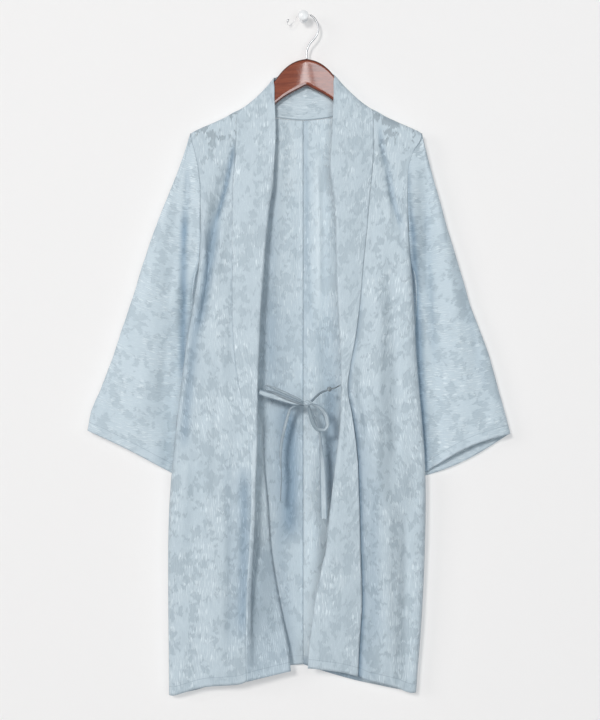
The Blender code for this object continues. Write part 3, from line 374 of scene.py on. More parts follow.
def ridge_point(side, out, angle):
    """A point on the cloth that goes over the hanger's arm: 0 degrees is its front, 90 its top, 180 its back."""
    sign = SIDES[side]
    step = 1.0
    slope = (HANGER.read("top", out + step) - HANGER.read("top", out - step)) / (2 * step)
    length = math.hypot(1.0, slope)
    normal_x = -slope * sign / length
    normal_z = 1.0 / length
    lift = RIDGE_RADIUS * math.sin(math.radians(angle))
    depth = HANGER_DEPTH + RIDGE_RADIUS * math.cos(math.radians(angle))
    x = HANGER_X + sign * out + normal_x * lift
    height = HANGER.read("top", out) - RIDGE_DROP + normal_z * lift
    return x, depth, height


def seam_out(side, angle):
    """Collar seam on the arm, from the hanger's middle, at an angle round the ridge."""
    return SEAM_OUT[side] - SEAM_SHIFT * angle / 180.0


def settle(v, share=0.0):
    """How far a row has come onto the hanger's arm: 0 below the shoulder, 1 on it, later at the armhole."""
    return mix(ease((v - 0.86) / 0.14) * (1 - share ** 3), 1.0, ease((v - 0.97) / 0.03))


def edge_heights(side):
    """Heights of the rows at a panel's side: from the hem to the underarm, then up the armhole to the arm."""
    hem = FRONT_HEM[side].read("height", 1)
    top = ridge_point(side, SHOULDER_END, 0)[2]
    low = [mix(hem, UNDERARM, k / BODY_ROWS) for k in range(BODY_ROWS)]
    high = [mix(top, UNDERARM, share) for share in reversed(ARMHOLE)]
    return low + high


def row_shares(side):
    heights = edge_heights(side)
    return [(z - heights[0]) / (heights[-1] - heights[0]) for z in heights]


def side_edge(side, face, height, turn_share):
    """The rolled side of a front or back panel: x and depth, from flat (0) to the seam (1)."""
    body = BODY[side]
    sign = SIDES[side]
    front_depth = body.read("side_depth", height)
    back_depth = body.read("back_depth", height)
    radius = body.read("roll_front", height)
    if face == "back":
        sewn = ease((UNDERARM + OPENING - height) / OPENING)
        gap = SEAM * (1 + ease((height - UNDERARM + OPENING * 2) / OPENING / 2))
        radius = mix(ROLL_ABOVE, front_depth - radius - gap - back_depth, sewn)
    full = math.radians(body.read("turn", height))
    angle = full * turn_share
    flat_x = body.read("side_x", height) - sign * radius * math.sin(full)
    x = flat_x + sign * radius * math.sin(angle)
    if face == "front":
        return x, front_depth - radius * (1 - math.cos(angle))
    return x, back_depth + radius * (1 - math.cos(angle))


def panel_point(side, face, share, roll, v, hem, top, inner, moved, clear):
    """A point of a front or back wall, at its share of the width and of the height between hem and top. inner gives
    its inner edge at a height, moved is how far that edge is moved, and clear is 0 where it takes no folds."""
    height = mix(hem[side].read("height", share), top[2], v)
    inner_x, inner_depth = inner(height)
    edge_x, edge_depth = side_edge(side, face, height, roll)
    x = mix(mix(inner_x, edge_x, share), top[0], settle(v, share)) + moved
    depth = mix(inner_depth, edge_depth, ease(share) if roll == 0 else 1.0)
    depth = mix(depth, top[1], settle(v))
    if roll == 0:
        clear = min(clear, (1 - share) / FOLDS_END_AT_SIDE, 1.0)
        depth += fold_rise(face + "_" + side, x, height) * ease(clear) * (1 - settle(v))
    return x, depth, height


def front_point(side, share, roll, v):
    """A point of a front's wall: its share of the width from the collar seam, and of the height from the hem."""
    body = BODY[side]
    gap = SIDES[side] * SEAM if share == 0 else 0.0
    top = ridge_point(side, mix(seam_out(side, 0), SHOULDER_END, share), 0)
    return panel_point(side, "front", share, roll, v, FRONT_HEM, top,
                       lambda z: (body.read("seam_x", z), body.read("seam_depth", z)), gap, share / FOLDS_END_AT_BAND)


def spread_ends(row, count):
    """Where the side doesn't roll, its last columns lie evenly between the flat part and the edge."""
    steps = count + 1
    flat = row[-steps - 1]
    edge = row[-1]
    if math.dist(row[-steps], edge) > count * 2.0:
        return row
    inner = [tuple(mix(a, b, k / steps) for a, b in zip(flat, edge)) for k in range(1, steps)]
    return list(row[:-steps]) + inner + [edge]


def back_columns(side):
    """Columns of a back panel: share of its width, and where its top edge is on the arm (out, angle)."""
    columns = [dict(share=s, out=None, angle=180, roll=0.0) for s in NECK_SHARES[:-1]]
    for k, angle in enumerate(CROSS_ANGLES):
        share = NECK_SHARES[-1] + CROSS_STEP * k
        columns.append(dict(share=share, out=seam_out(side, angle) + SEAM, angle=angle, roll=0.0))
    start = columns[-1]["share"]
    for share in BACK_SHOULDER:
        out = mix(seam_out(side, 90), SHOULDER_END, (share - start) / (1 - start))
        columns.append(dict(share=share, out=out, angle=90, roll=0.0))
    columns += [dict(share=1.0, out=SHOULDER_END, angle=90, roll=roll) for roll in ROLL_STEPS]
    return columns


def neck_line(side, blend):
    """The collar's seam behind the neck: from the centre back (0) to the arm's back (1)."""
    corner = ridge_point(side, seam_out(side, 180), 180)
    depth = mix(NECK_DEPTH, corner[1], blend)
    return mix(0.0, corner[0], blend), depth, mix(NECK_HEIGHT, corner[2], blend ** 1.5)


def back_point(side, column, v):
    """A point of a back's wall below the arm."""
    share = column["share"]
    if column["out"] is None:
        low = neck_line(side, share / NECK_SHARES[-1])
        low = (low[0], low[1], low[2] - SEAM)
    else:
        low = ridge_point(side, column["out"], 180)
    gap = SIDES[side] * SEAM * 0.5 * (1 - share)
    return panel_point(side, "back", share, column["roll"], v, BACK_HEM, low,
                       lambda z: (0.0, CENTRE_BACK.read("depth", z)), gap, 1.0)


def crease_share(side, height):
    """Where the band's fold is, as a share of its width, for its columns to follow."""
    share = BAND[side].read("shown", height) / BAND[side].read("width", height)
    return min(max(share, BEND_SHARE + BAND_START), 1 - 2 * BEND_SHARE)


def band_shares(side, height):
    """Shares of the band's width at its columns, closer together in its fold."""
    crease = crease_share(side, height)
    before = [mix(0, crease - BEND_SHARE, k / BAND_FLAT) for k in range(BAND_FLAT)]
    bend = [mix(crease - BEND_SHARE, crease + BEND_SHARE, k / BAND_CURVE) for k in range(BAND_CURVE)]
    after = [mix(crease + BEND_SHARE, 1, k / BAND_REST) for k in range(BAND_REST + 1)]
    return before + bend + after


def band_section(side, height):
    """The band across, with its lengthwise bends: points every half millimetre, (x, depth) from its seam."""
    band = BAND[side]
    width = band.read("width", height)
    shown, first, run, second = (band.read(n, height) for n in ("shown", "first_turn", "run", "second_turn"))
    count = int(round(width * 2))
    step = width / count
    x, depth = 0.0, 0.0
    points = [(x, depth)]
    for k in range(count):
        along = (k + 0.5) * step
        turn = -BAND_SLOPE * (1 - ease(along / (shown + 1.0)))
        turn += first * ease((along - shown) / BAND_BEND + 0.5)
        turn += second * ease((along - shown - run) / BAND_BEND + 0.5)
        x += math.cos(math.radians(turn)) * step
        depth -= math.sin(math.radians(turn)) * step
        points.append((x, depth))
    return points


def band_row(side, v):
    """A row of the collar band on a front, from its seam to its free edge."""
    body = BODY[side]
    sign = SIDES[side]
    top = ridge_point(side, seam_out(side, 0), 0)
    seam_height = mix(FRONT_HEM[side].read("height", 0), top[2], v)
    on_arm = settle(v)
    row = []
    for share in band_shares(side, seam_height):
        arm = ridge_point(side, mix(seam_out(side, 0), NECK_OUT[side], share), 0)
        height = mix(BAND_HEM[side].read("height", share), arm[2], v)
        section = band_section(side, height)
        x, depth = section[int(round(share * (len(section) - 1)))]
        x = body.read("seam_x", height) - sign * x
        depth = body.read("seam_depth", height) + depth
        row.append((mix(x, arm[0], on_arm), mix(depth, arm[1], on_arm), height))
    return row


def neck_row(side, blend):
    """A row of the collar behind the neck, from the centre back (0) to the arm's back (1)."""
    low = neck_line(side, blend)
    free = ridge_point(side, NECK_OUT[side] - SEAM_SHIFT, 180)
    high = (mix(0.0, free[0], blend), low[1], mix(NECK_HEIGHT + BAND_WIDTH, free[2], blend ** 1.5))
    top = ridge_point(side, seam_out(side, 0), 0)
    return [tuple(mix(a, b, share) for a, b in zip(low, high)) for share in band_shares(side, top[2])]


def sleeve_rows(side):
    """Heights of a sleeve's rows at its inner edge: down the armhole, then down the underarm seam to the cuff."""
    armhole = list(reversed(edge_heights(side)[BODY_ROWS + 1:]))
    cuff = SLEEVE_UNDER[side].rows[0][0]
    start = UNDERARM - SLEEVE_SLIT
    below = [mix(start, cuff, k / SLEEVE_ROWS) for k in range(SLEEVE_ROWS + 1)]
    return armhole + below


def sleeve_depths(side, x, height):
    """Depth of the front and back layer of a hanging sleeve at a point of its outline."""
    away = SIDES[side] * (x - BODY[side].read("side_x", height))
    spread = max(ease((away - 3.0) / SLEEVE_SPREAD), ease((height - UNDERARM) / SLEEVE_SPREAD))
    return [mix(behind, far, spread) for behind, far in zip(SLEEVE_BEHIND, SLEEVE_FAR)]


def in_armhole(height):
    return height > UNDERARM + 1.0


def sleeve_root(side, height, layer):
    """Where a sleeve's layer starts: the edge of the body, moved out by the seam's gap, then the underarm seam."""
    sign = SIDES[side]
    heights = edge_heights(side)
    v = (max(height, UNDERARM + OPENING) - heights[0]) / (heights[-1] - heights[0])
    if layer > 0:
        x, depth, _ = front_point(side, 1.0, 1.0, v)
    else:
        x, depth, _ = back_point(side, back_columns(side)[-1], v)
    if in_armhole(height):
        turn = math.radians(BODY[side].read("turn", height))
        low = ease((UNDERARM + 2 * OPENING - height) / OPENING)
        return x + sign * (SEAM + CLOTH * 0.5 * math.sin(turn) + SLEEVE_TILT * (1 + 4 * low)), depth
    free = ease((UNDERARM - height) / SLEEVE_FREE)
    return SLEEVE_UNDER[side].read("x", height), mix(depth, SLEEVE_BEHIND[0 if layer > 0 else 1], free)


def sleeve_point(side, height, station, layer):
    """A point of a sleeve: its row's height at the inner edge, and a station from there to the top fold."""
    across = station["across"]
    rows = sleeve_rows(side)
    down = (rows[0] - height) / (rows[0] - rows[-1])
    root_x, root_depth = sleeve_root(side, height, layer)
    fold_height = mix(SLEEVE_TOP[side].rows[-1][0], SLEEVE_TOP[side].rows[0][0], down)
    fold_x = SLEEVE_TOP[side].read("x", fold_height)
    x = mix(root_x, fold_x, across)
    z = mix(height, fold_height, across)
    hanging = sleeve_depths(side, x, z)[0 if layer > 0 else 1]
    leave = ease(abs(x - root_x) / SLEEVE_LEAVE)
    depth = mix(root_depth, hanging, leave)
    face = station["top_face"] if in_armhole(height) else station["top_face"] * station["under_face"]
    other = mix(sleeve_root(side, height, -layer)[1], sleeve_depths(side, x, z)[1 if layer > 0 else 0], leave)
    depth = mix((depth + other) * 0.5, depth, face)
    drop = CUFF_DROP[side][0 if layer > 0 else 1]
    z -= drop * ease((down - 0.8) / 0.2) * math.sin(math.pi * across) * face
    if layer > 0:
        depth += fold_rise("sleeve_" + side, x, z) * ease(across / 0.3) * ease((1 - across) / 0.2) * ease(down / 0.1)
    return x, depth, z

# %% [markdown]
# Each cut is first a coarse net of points, row by row. A maker's cloth is smooth between them, so the net is refined
# along both directions with cubic curves whose knots stand as far apart as the cloth does. Short cells next to long
# ones then give no overshoot.

# %% Nets of points and their refinement
def net(rows):
    """Rows of (x, depth, height) in millimetres as an array of points in metres."""
    return np.array([[(x, -depth, height) for x, depth, height in row] for row in rows]) * MM


def resample(points, step):
    """Smooth rows between the given ones, about a step apart, through every given row."""
    gaps = np.linalg.norm(np.diff(points, axis=0), axis=2).mean(axis=1) + 1e-7
    slopes = np.diff(points, axis=0) / gaps[:, None, None]
    weights = gaps[:, None, None]
    inner = (slopes[:-1] * weights[1:] + slopes[1:] * weights[:-1]) / (weights[:-1] + weights[1:])
    tangents = np.concatenate([slopes[:1], inner, slopes[-1:]])
    rows = []
    for k, gap in enumerate(gaps):
        count = max(1, int(math.ceil(gap / step)))
        for share in np.arange(count) / count:
            rise = share * share * (3 - 2 * share)
            start = share * (1 - share) ** 2
            end = share * share * (share - 1)
            rows.append(points[k] * (1 - rise) + points[k + 1] * rise
                        + (tangents[k] * start + tangents[k + 1] * end) * gap)
    rows.append(points[-1])
    return np.array(rows)


def refine(points, along, across):
    """A finer net: steps in metres along the rows' order and across them."""
    longer = resample(points, along)
    return resample(longer.transpose(1, 0, 2), across).transpose(1, 0, 2)


def lengths(points):
    """Length of cloth from the first row to each point."""
    steps = np.linalg.norm(np.diff(points, axis=0), axis=2)
    return np.concatenate([np.zeros((1, points.shape[1])), np.cumsum(steps, axis=0)])


def widths(points):
    """Length of cloth from the first column to each point."""
    return lengths(points.transpose(1, 0, 2)).T


def normals(points):
    """Unit normals of a net, on the side that looks forward where the cloth lies flat."""
    along = np.gradient(points, axis=0)
    across = np.gradient(points, axis=1)
    crossed = np.cross(along, across)
    size = np.linalg.norm(crossed, axis=2, keepdims=True)
    return crossed / np.maximum(size, 1e-12)


def tuck(points, first=0.0, last=0.0):
    """Lengthens the cloth at its first and last column, so that it goes into the seam there. In millimetres."""
    moved = points.copy()
    for edge, inner, reach in ((0, 1, first), (-1, -2, last)):
        out = points[:, edge] - points[:, inner]
        size = np.linalg.norm(out, axis=1, keepdims=True)
        moved[:, edge] += out / np.maximum(size, 1e-9) * (np.ones((len(points), 1)) * reach) * MM
    return moved


print("a step of cloth:", resample(net([[(0, 0, 0)], [(0, 0, 10)]]), 0.005).shape)

# %% [markdown]
# Cloth is never quite smooth. A slow, uneven swell of well under a millimetre moves each point along the cloth's
# normal, which is what breaks up the light on it. The swell fades at seams, so that neighbours still meet.

# %% Creases and the uneven surface
CREASE_ENDS = 0.35      # share of a fold's length over which it starts and ends
SHADE_ENDS = 0.2        # the same for its painted shade
SHADE_WIDTH = 1.2       # width of the painted shade, to the fold's
SHADE_PER_MM = 0.11     # painted shade of a fold that has none of its own, for each millimetre that it falls back
SWELLS = {              # width, height and seed of the swells of a piece
    "front": ((0.030, 0.0018, 3.1), (0.011, 0.0006, 7.7)), "back": ((0.034, 0.0014, 11.3),),
    "collar": ((0.030, 0.0010, 5.3),), "sleeve": ((0.026, 0.0014, 17.9), (0.010, 0.0004, 23.1)),
}
FINE_FOLDS = {}         # filled beside each piece


def soften(share):
    """0 to 1 with soft ends, for whole arrays."""
    share = np.clip(share, 0.0, 1.0)
    return share * share * (3 - 2 * share)


def below(points, height, over):
    """0 above a height and 1 below it, softly over a distance. In metres."""
    return soften((height - points[..., 2]) / over)


def near(distance, width):
    """1 at a seam, falling away from it over a width."""
    return np.exp(-(distance / width) ** 2)


def beside(points, line, share):
    """How far off a fold's line each point lies, in millimetres, and 1 along the fold, which starts and ends over
    this share of its length."""
    x, z = points[..., 0] / MM - line["x1"], points[..., 2] / MM - line["z1"]
    length = math.hypot(line["x2"] - line["x1"], line["z2"] - line["z1"])
    dx, dz = (line["x2"] - line["x1"]) / length, (line["z2"] - line["z1"]) / length
    along = x * dx + z * dz
    off = x * dz - z * dx + line.get("bow", 0.0) * np.sin(along / length * math.pi)
    return off, soften(along / (length * share)) * soften((length - along) / (length * share))


def crease(points, lines, fade):
    """Moves a net forward along its folds: troughs and ridges of the given width and rise."""
    rise = np.zeros(points.shape[:2])
    for line in lines:
        off, ends = beside(points, line, CREASE_ENDS)
        rise += line["rise"] * ends * near(off, line["width"])
    moved = points.copy()
    moved[..., 1] -= rise * fade * MM
    return moved


def shade_of(points, lines):
    """Painted shade along the folds, up to 1, which darkens the cloth's colour. Below 0 it is a painted highlight
    that lightens it."""
    painted_light_and_allowance = np.zeros(points.shape[:2])
    for line in lines:
        off, ends = beside(points, line, SHADE_ENDS)
        shade = line.get("shade", max(-line["rise"], 0.0) * SHADE_PER_MM)
        painted_light_and_allowance += shade * ends * near(off, line["width"] * SHADE_WIDTH)
    return np.clip(painted_light_and_allowance, -1.0, 1.0)


def rumple(points, size, rise, seed, fade):
    """An uneven swell of the cloth along its normal: size is the width of a swell."""
    out = normals(points)
    flat = points.reshape(-1, 3) / size
    shift = Vector((seed, seed * 2, 0))
    swell = np.array([noise.noise(Vector((p[0], p[1] * 0.6, p[2] * 0.45)) + shift) for p in flat])
    return points + out * (swell.reshape(points.shape[:2]) * rise * fade)[..., None]


def edge_fade(points, distance):
    """1 inside a piece and 0 at its sides, softly over a distance."""
    across = widths(points)
    return soften(np.minimum(across, across[:, -1:] - across) / distance)


def creased(name, points, fade, where=1.0):
    """A piece with its fine folds and its swells, and the painted shade and highlight that its folds get."""
    lines = FINE_FOLDS.get(name, ())
    painted_light_and_allowance = shade_of(points, lines) * where
    points = crease(points, lines, fade * where)
    for size, rise, seed in SWELLS[name.split("_")[0]]:
        points = rumple(points, size, rise, seed, fade)
    return points, painted_light_and_allowance


print("swell at a point:", round(noise.noise(Vector((0.3, 0.1, 0.7))), 3))

# %% [markdown]
# A piece starts as a flat grid, the cut as it lies on the table, and each of its points then moves to its place on
# the hanging garment. The flat lengths are kept as a UV map, so that the woven pattern follows the cloth round every
# fold. A second map holds how far each point is from a seam and from a hem, for the stitching and the turned-in edge.

# %% From the flat cut to the hanging piece
SHELL = 0.5             # thickness of the thin cloth, in millimetres
BAND_SHELL = 0.8        # thickness of the doubled band
FAR = 1.0               # a distance that counts as no seam or hem, in metres
BOLT = {                # where on the bolt each piece was cut, in metres
    "front_right": (0.11, 0.35), "front_left": (0.83, 1.92), "back_right": (1.57, 3.41), "back_left": (2.28, 5.13),
    "collar": (3.06, 0.72), "sleeve_right": (4.17, 2.61), "sleeve_left": (5.39, 4.24),
}


def finished(name, shape, finish, smooth=180.0):
    """An object of a shape, smooth up to an angle between its faces, in one finish."""
    mesh = bpy.data.meshes.new(name)
    shape.to_mesh(mesh)
    shape.free()
    mesh.shade_smooth()
    if smooth < 180:
        mesh.set_sharp_from_angle(angle=math.radians(smooth))
    mesh.materials.append(finish)
    piece = bpy.data.objects.new(name, mesh)
    bpy.context.scene.collection.objects.link(piece)
    return piece


def declare(piece, replaced):
    """Puts a piece under the root body, and hides the solid that it stands for."""
    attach(piece, "root")
    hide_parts(replaced)


def drape(name, points, finish, replaced, warp="rows", seams=(), hems=(), marks=None, painted_light_and_allowance=None,
          shell=SHELL, smooth=180.0, close=False):
    """Moves a flat grid to a net of points and gives it a wall, or closes it. warp says which way the long threads
    run, and marks is each point's distance from a seam line inside the piece."""
    count_along, count_across = points.shape[:2]
    shape = bmesh.new()
    bmesh.ops.create_grid(shape, x_segments=count_across - 1, y_segments=count_along - 1, size=0.5)
    cut = shape.loops.layers.uv.new("cut")
    edges = shape.loops.layers.uv.new("edges")
    # The attribute below carries painted shade and highlight, and the centre seam's doubled allowance
    paint_of_light_and_allowance = shape.verts.layers.float.new("paint_of_light_and_allowance")
    along, across = lengths(points), widths(points)
    to_seam = np.full(points.shape[:2], FAR)
    to_hem = np.full(points.shape[:2], FAR)
    ends = dict(first=across, last=across[:, -1:] - across, low=along, high=along[-1:] - along)
    for side in seams:
        to_seam = np.minimum(to_seam, ends[side])
    if marks is not None:
        to_seam = np.minimum(to_seam, marks)
    for side in hems:
        to_hem = np.minimum(to_hem, ends[side])
    if warp == "rows":
        u, v = across, points[:1, :, 2] + along
    elif warp == "long":
        u, v = across, along
    else:
        u, v = along, across
    start = BOLT.get(replaced, (0.0, 0.0))
    low = min(vert.co.x for vert in shape.verts)
    high = max(vert.co.x for vert in shape.verts)
    place_of = {}
    for vert in shape.verts:
        column = round((vert.co.x - low) / (high - low) * (count_across - 1))
        row = round((vert.co.y - low) / (high - low) * (count_along - 1))
        place_of[vert] = (row, column)
    for face in shape.faces:
        for loop in face.loops:
            here = place_of[loop.vert]
            loop[cut].uv = (u[here] + start[0], v[here] + start[1])
            loop[edges].uv = (to_seam[here], to_hem[here])
    for vert, here in place_of.items():
        vert.co = points[here]
        vert[paint_of_light_and_allowance] = 0.0 if painted_light_and_allowance is None else float(painted_light_and_allowance[here])
    bmesh.ops.remove_doubles(shape, verts=shape.verts, dist=2e-5)
    if close:
        bmesh.ops.holes_fill(shape, edges=[edge for edge in shape.edges if edge.is_boundary], sides=0)
    bmesh.ops.recalc_face_normals(shape, faces=shape.faces)
    area = sum(face.calc_area() for face in shape.faces)
    piece = finished(name, shape, finish, smooth)
    if not close:
        wall = piece.modifiers.new("Wall", "SOLIDIFY")
        wall.thickness = shell * MM
        wall.offset = 0.0
    declare(piece, replaced)
    size = (float(across[:, -1].max()), float(along[-1].max()))
    print(name, "cut", [round(s, 3) for s in size], "m, area", round(area, 3), "m2, faces", len(piece.data.polygons))
    return piece, size, area


# %% [markdown]
# The cloth is a jacquard: a sheer ground with an opaque leaf pattern woven into it, and fine loose threads that
# catch the light along the warp. The leaves here are a plain foliage of our own, grown from cells and noise. Where
# there are leaves the cloth covers, and between them the wall or the hanger shows through.

# %% Helpers for node materials
def new_material(name):
    finish = bpy.data.materials.new(name)
    finish.use_nodes = True
    return finish, finish.node_tree, finish.node_tree.nodes["Principled BSDF"]


def feed(tree, socket, value):
    """Gives a socket a value, which is a number or another node's output."""
    if isinstance(value, bpy.types.NodeSocket):
        tree.links.new(value, socket)
    else:
        socket.default_value = value


def node(tree, kind, settings=None, **sockets):
    """Adds a node. A socket's name has _ for a space, or is i and its number."""
    made = tree.nodes.new(kind)
    for name, value in (settings or {}).items():
        setattr(made, name, value)
    for name, value in sockets.items():
        numbered = name[0] == "i" and name[1:].isdigit()
        feed(tree, made.inputs[int(name[1:]) if numbered else name.replace("_", " ")], value)
    return made


def maths(tree, operation, a, b=0.0, clamp=False):
    return node(tree, "ShaderNodeMath", dict(operation=operation, use_clamp=clamp), i0=a, i1=b).outputs[0]


def times(tree, a, b, clamp=False):
    return maths(tree, "MULTIPLY", a, b, clamp)


def step_of(tree, value, low, high, start=0.0, end=1.0):
    """Goes softly from start to end while the value goes from low to high."""
    return node(tree, "ShaderNodeMapRange", dict(interpolation_type="SMOOTHSTEP"), Value=value, From_Min=low,
                From_Max=high, To_Min=start, To_Max=end).outputs[0]


def blend_of(tree, share, a, b, mode="MIX"):
    made = node(tree, "ShaderNodeMix", dict(data_type="RGBA", blend_type=mode))
    for k, value in ((0, share), (6, a), (7, b)):
        feed(tree, made.inputs[k], value)
    return made.outputs[2]


def vectors(tree, operation, *values):
    return node(tree, "ShaderNodeVectorMath", dict(operation=operation),
                **{"i%d" % k: value for k, value in enumerate(values)}).outputs[0]


def stretched(tree, vector, x, y, z=1.0):
    return vectors(tree, "MULTIPLY", vector, (x, y, z))


def parts_of(tree, vector):
    return node(tree, "ShaderNodeSeparateXYZ", i0=vector).outputs


def map_of(tree, name):
    return node(tree, "ShaderNodeUVMap", dict(uv_map=name)).outputs[0]


def here_of(tree):
    return node(tree, "ShaderNodeTexCoord").outputs["Object"]


def leaves_of(tree, vector, size, tip, lobes):
    """One pointed, lobed leaf to a cell of this size, each turned its own way: where it is, its tint and its veins."""
    cells = node(tree, "ShaderNodeTexVoronoi", dict(voronoi_dimensions="2D"), Vector=vector, Scale=1.0 / size)
    tint = node(tree, "ShaderNodeSeparateColor", i0=cells.outputs["Color"]).outputs[0]
    local = vectors(tree, "SUBTRACT", vector, cells.outputs["Position"])
    parts = parts_of(tree, local)
    angle = maths(tree, "ARCTAN2", parts[1], parts[0])
    angle = maths(tree, "ADD", angle, times(tree, tint, 2 * math.pi))
    notch = maths(tree, "ABSOLUTE", maths(tree, "SINE", times(tree, angle, lobes * 0.5)))
    front = maths(tree, "ADD", times(tree, maths(tree, "COSINE", angle), 0.22), 0.78)
    reach = times(tree, maths(tree, "SUBTRACT", 1.0, times(tree, notch, 0.58)), front)
    away = node(tree, "ShaderNodeVectorMath", dict(operation="LENGTH"), i0=local).outputs["Value"]
    share = maths(tree, "DIVIDE", away, times(tree, reach, size * tip))
    leaf = step_of(tree, share, 0.90, 1.08, 1, 0)
    vein = times(tree, step_of(tree, times(tree, notch, away), 0.0005, 0.0011, 1, 0), leaf)
    return leaf, tint, vein


print("helpers ready")

# %% The jacquard
GROUND = (0.522, 0.618, 0.682, 1)
LEAF = (0.592, 0.688, 0.750, 1)
THREAD_AND_PAINTED_HIGHLIGHT = (0.76, 0.85, 0.90, 1)
SEAM_SHADE = (0.17, 0.24, 0.30, 1)
PAINTED_SHADE_AND_ALLOWANCE_TINT = (0.38, 0.49, 0.60, 1)
LARGE_LEAF = 0.046                  # cell of a large leaf, in metres
SMALL_LEAF = 0.027
HEM_TURNED = (0.0165, 0.0170)       # where the cloth that is turned in at a hem ends, softly
SEAM_TURNED = (0.0080, 0.0086)      # the same at a seam
STITCHES = ((0.0152, 0.0158), (0.0164, 0.0170))     # start and end of the stitched line at a hem
SEAM_LINE = (0.0006, 0.0016)        # the dark line of a seam
SHEER_AT = (-0.275, -0.215)         # heights between which the cloth over the arms gets sheerer


def jacquard(name, ground_cover, leaf_cover, line=1.0, depth=1.0, sheer=0.0):
    """Sheer cloth with opaque leaves. The covers are how much each hides what is behind it. Where the cloth is
    stretched over the hanger's arms it is sheerer."""
    finish, tree, shader = new_material(name)
    cut = map_of(tree, "cut")
    flat = dict(noise_dimensions="2D")

    def weave_noise(vector, scale, detail=0.0):
        return node(tree, "ShaderNodeTexNoise", flat, Vector=vector, Scale=scale, Detail=detail).outputs[0]

    # Each thread ends a little further on than its neighbour, which breaks a leaf's edge into fingers
    finger = maths(tree, "SUBTRACT", weave_noise(stretched(tree, cut, 520.0, 40.0), 1.0, 1.0), 0.5)
    shift = node(tree, "ShaderNodeCombineXYZ", i1=times(tree, finger, 0.012)).outputs[0]
    combed = vectors(tree, "ADD", cut, shift)
    wander = node(tree, "ShaderNodeTexNoise", flat, Vector=combed, Scale=60.0, Detail=1.0).outputs["Color"]
    wander = vectors(tree, "SUBTRACT", wander, (0.5, 0.5, 0.5))
    moved = vectors(tree, "MULTIPLY_ADD", wander, (0.010, 0.013, 0), combed)
    large, cell, vein = leaves_of(tree, moved, LARGE_LEAF, 0.92, 7)
    small = leaves_of(tree, stretched(tree, moved, -1.0, 1.0), SMALL_LEAF, 0.78, 5)[0]
    leaf = maths(tree, "MAXIMUM", large, times(tree, small, 0.85))
    loose = step_of(tree, weave_noise(stretched(tree, cut, 1.0, 0.6), 16.0, 1.0), 0.38, 0.56)
    threads = step_of(tree, weave_noise(stretched(tree, cut, 620.0, 60.0), 1.0), 0.60, 0.68)
    threads = times(tree, threads, times(tree, loose, step_of(tree, leaf, 0.0, 1.0, 0.35, 1.0)))
    edges = parts_of(tree, map_of(tree, "edges"))
    to_seam, to_hem = edges[0], edges[1]
    turned = maths(tree, "MAXIMUM", step_of(tree, to_hem, *HEM_TURNED, 1, 0),
                   step_of(tree, to_seam, *SEAM_TURNED, 1, 0))
    stitch = times(tree, step_of(tree, to_hem, *STITCHES[0]), step_of(tree, to_hem, *STITCHES[1], 1, 0))
    seam = maths(tree, "MAXIMUM", times(tree, stitch, 0.7), step_of(tree, to_seam, *SEAM_LINE, 1, 0))
    tones = [(*(part * depth for part in tone[:3]), 1) for tone in (GROUND, LEAF)]
    colour = blend_of(tree, maths(tree, "SUBTRACT", leaf, times(tree, cell, 0.40), True), *tones)
    yarn = weave_noise(stretched(tree, cut, 820.0, 64.0), 1.0, 1.0)
    colour = blend_of(tree, step_of(tree, yarn, 0.40, 0.75, 0.0, 0.20), colour, THREAD_AND_PAINTED_HIGHLIGHT)
    colour = blend_of(tree, times(tree, vein, 0.30), colour, THREAD_AND_PAINTED_HIGHLIGHT)
    colour = blend_of(tree, times(tree, threads, 0.90), colour, THREAD_AND_PAINTED_HIGHLIGHT)
    colour = blend_of(tree, times(tree, seam, 0.45 * line), colour, SEAM_SHADE)
    # Painted shade and highlight: the attribute darkens the colour along folds, beside and under the band and over the
    # centre seam's doubled allowance; below 0 it lightens it as a painted highlight
    paint_of_light_and_allowance = node(tree, "ShaderNodeAttribute", dict(attribute_name="paint_of_light_and_allowance")).outputs["Fac"]
    colour = blend_of(tree, times(tree, paint_of_light_and_allowance, 0.85, True), colour, PAINTED_SHADE_AND_ALLOWANCE_TINT, "MULTIPLY")
    colour = blend_of(tree, times(tree, paint_of_light_and_allowance, -0.60, True), colour, THREAD_AND_PAINTED_HIGHLIGHT)
    tree.links.new(colour, shader.inputs["Base Color"])
    open_cover = step_of(tree, parts_of(tree, here_of(tree))[2], *SHEER_AT, ground_cover, ground_cover - sheer)
    cover = node(tree, "ShaderNodeMapRange", Value=leaf, To_Min=open_cover, To_Max=leaf_cover).outputs[0]
    cover = maths(tree, "MAXIMUM", cover, times(tree, turned, 0.93))
    tree.links.new(cover, shader.inputs["Alpha"])
    weave = weave_noise(stretched(tree, cut, 1500.0, 900.0), 1.0, 1.0)
    raised = maths(tree, "ADD", times(tree, threads, 1.4), times(tree, weave, 0.4))
    height = maths(tree, "ADD", leaf, raised)
    bump = node(tree, "ShaderNodeBump", Strength=0.6, Distance=0.0004, Height=height)
    tree.links.new(bump.outputs[0], shader.inputs["Normal"])
    shader.inputs["Roughness"].default_value = 0.6
    shader.inputs["Sheen Weight"].default_value = 0.2
    shader.inputs["Sheen Roughness"].default_value = 0.4
    return finish


# Painted light: the backs and the sleeves get copies of the cloth in a lighter tone than the fronts, for the light
# that reaches them
body_cloth = jacquard("pale_blue_jacquard", 0.85, 0.95, depth=0.93, sheer=0.22)
back_cloth = jacquard("back_jacquard", 0.86, 0.95, line=0.5, depth=0.975)
sleeve_cloth = jacquard("sleeve_jacquard", 0.87, 0.95, depth=0.99, sheer=0.20)
band_cloth = jacquard("doubled_jacquard", 0.92, 0.98, depth=0.90)
tie_cloth = jacquard("tie_jacquard", 0.98, 0.99, line=1.5, depth=0.84)
# The left tie's small knot and its thread loop are drawn in a much darker tone of the cloth
knot_cloth = jacquard("dark_knot_jacquard", 0.99, 0.99, line=0.0, depth=0.36)
print("cloths:", body_cloth.name, band_cloth.name, tie_cloth.name, knot_cloth.name)
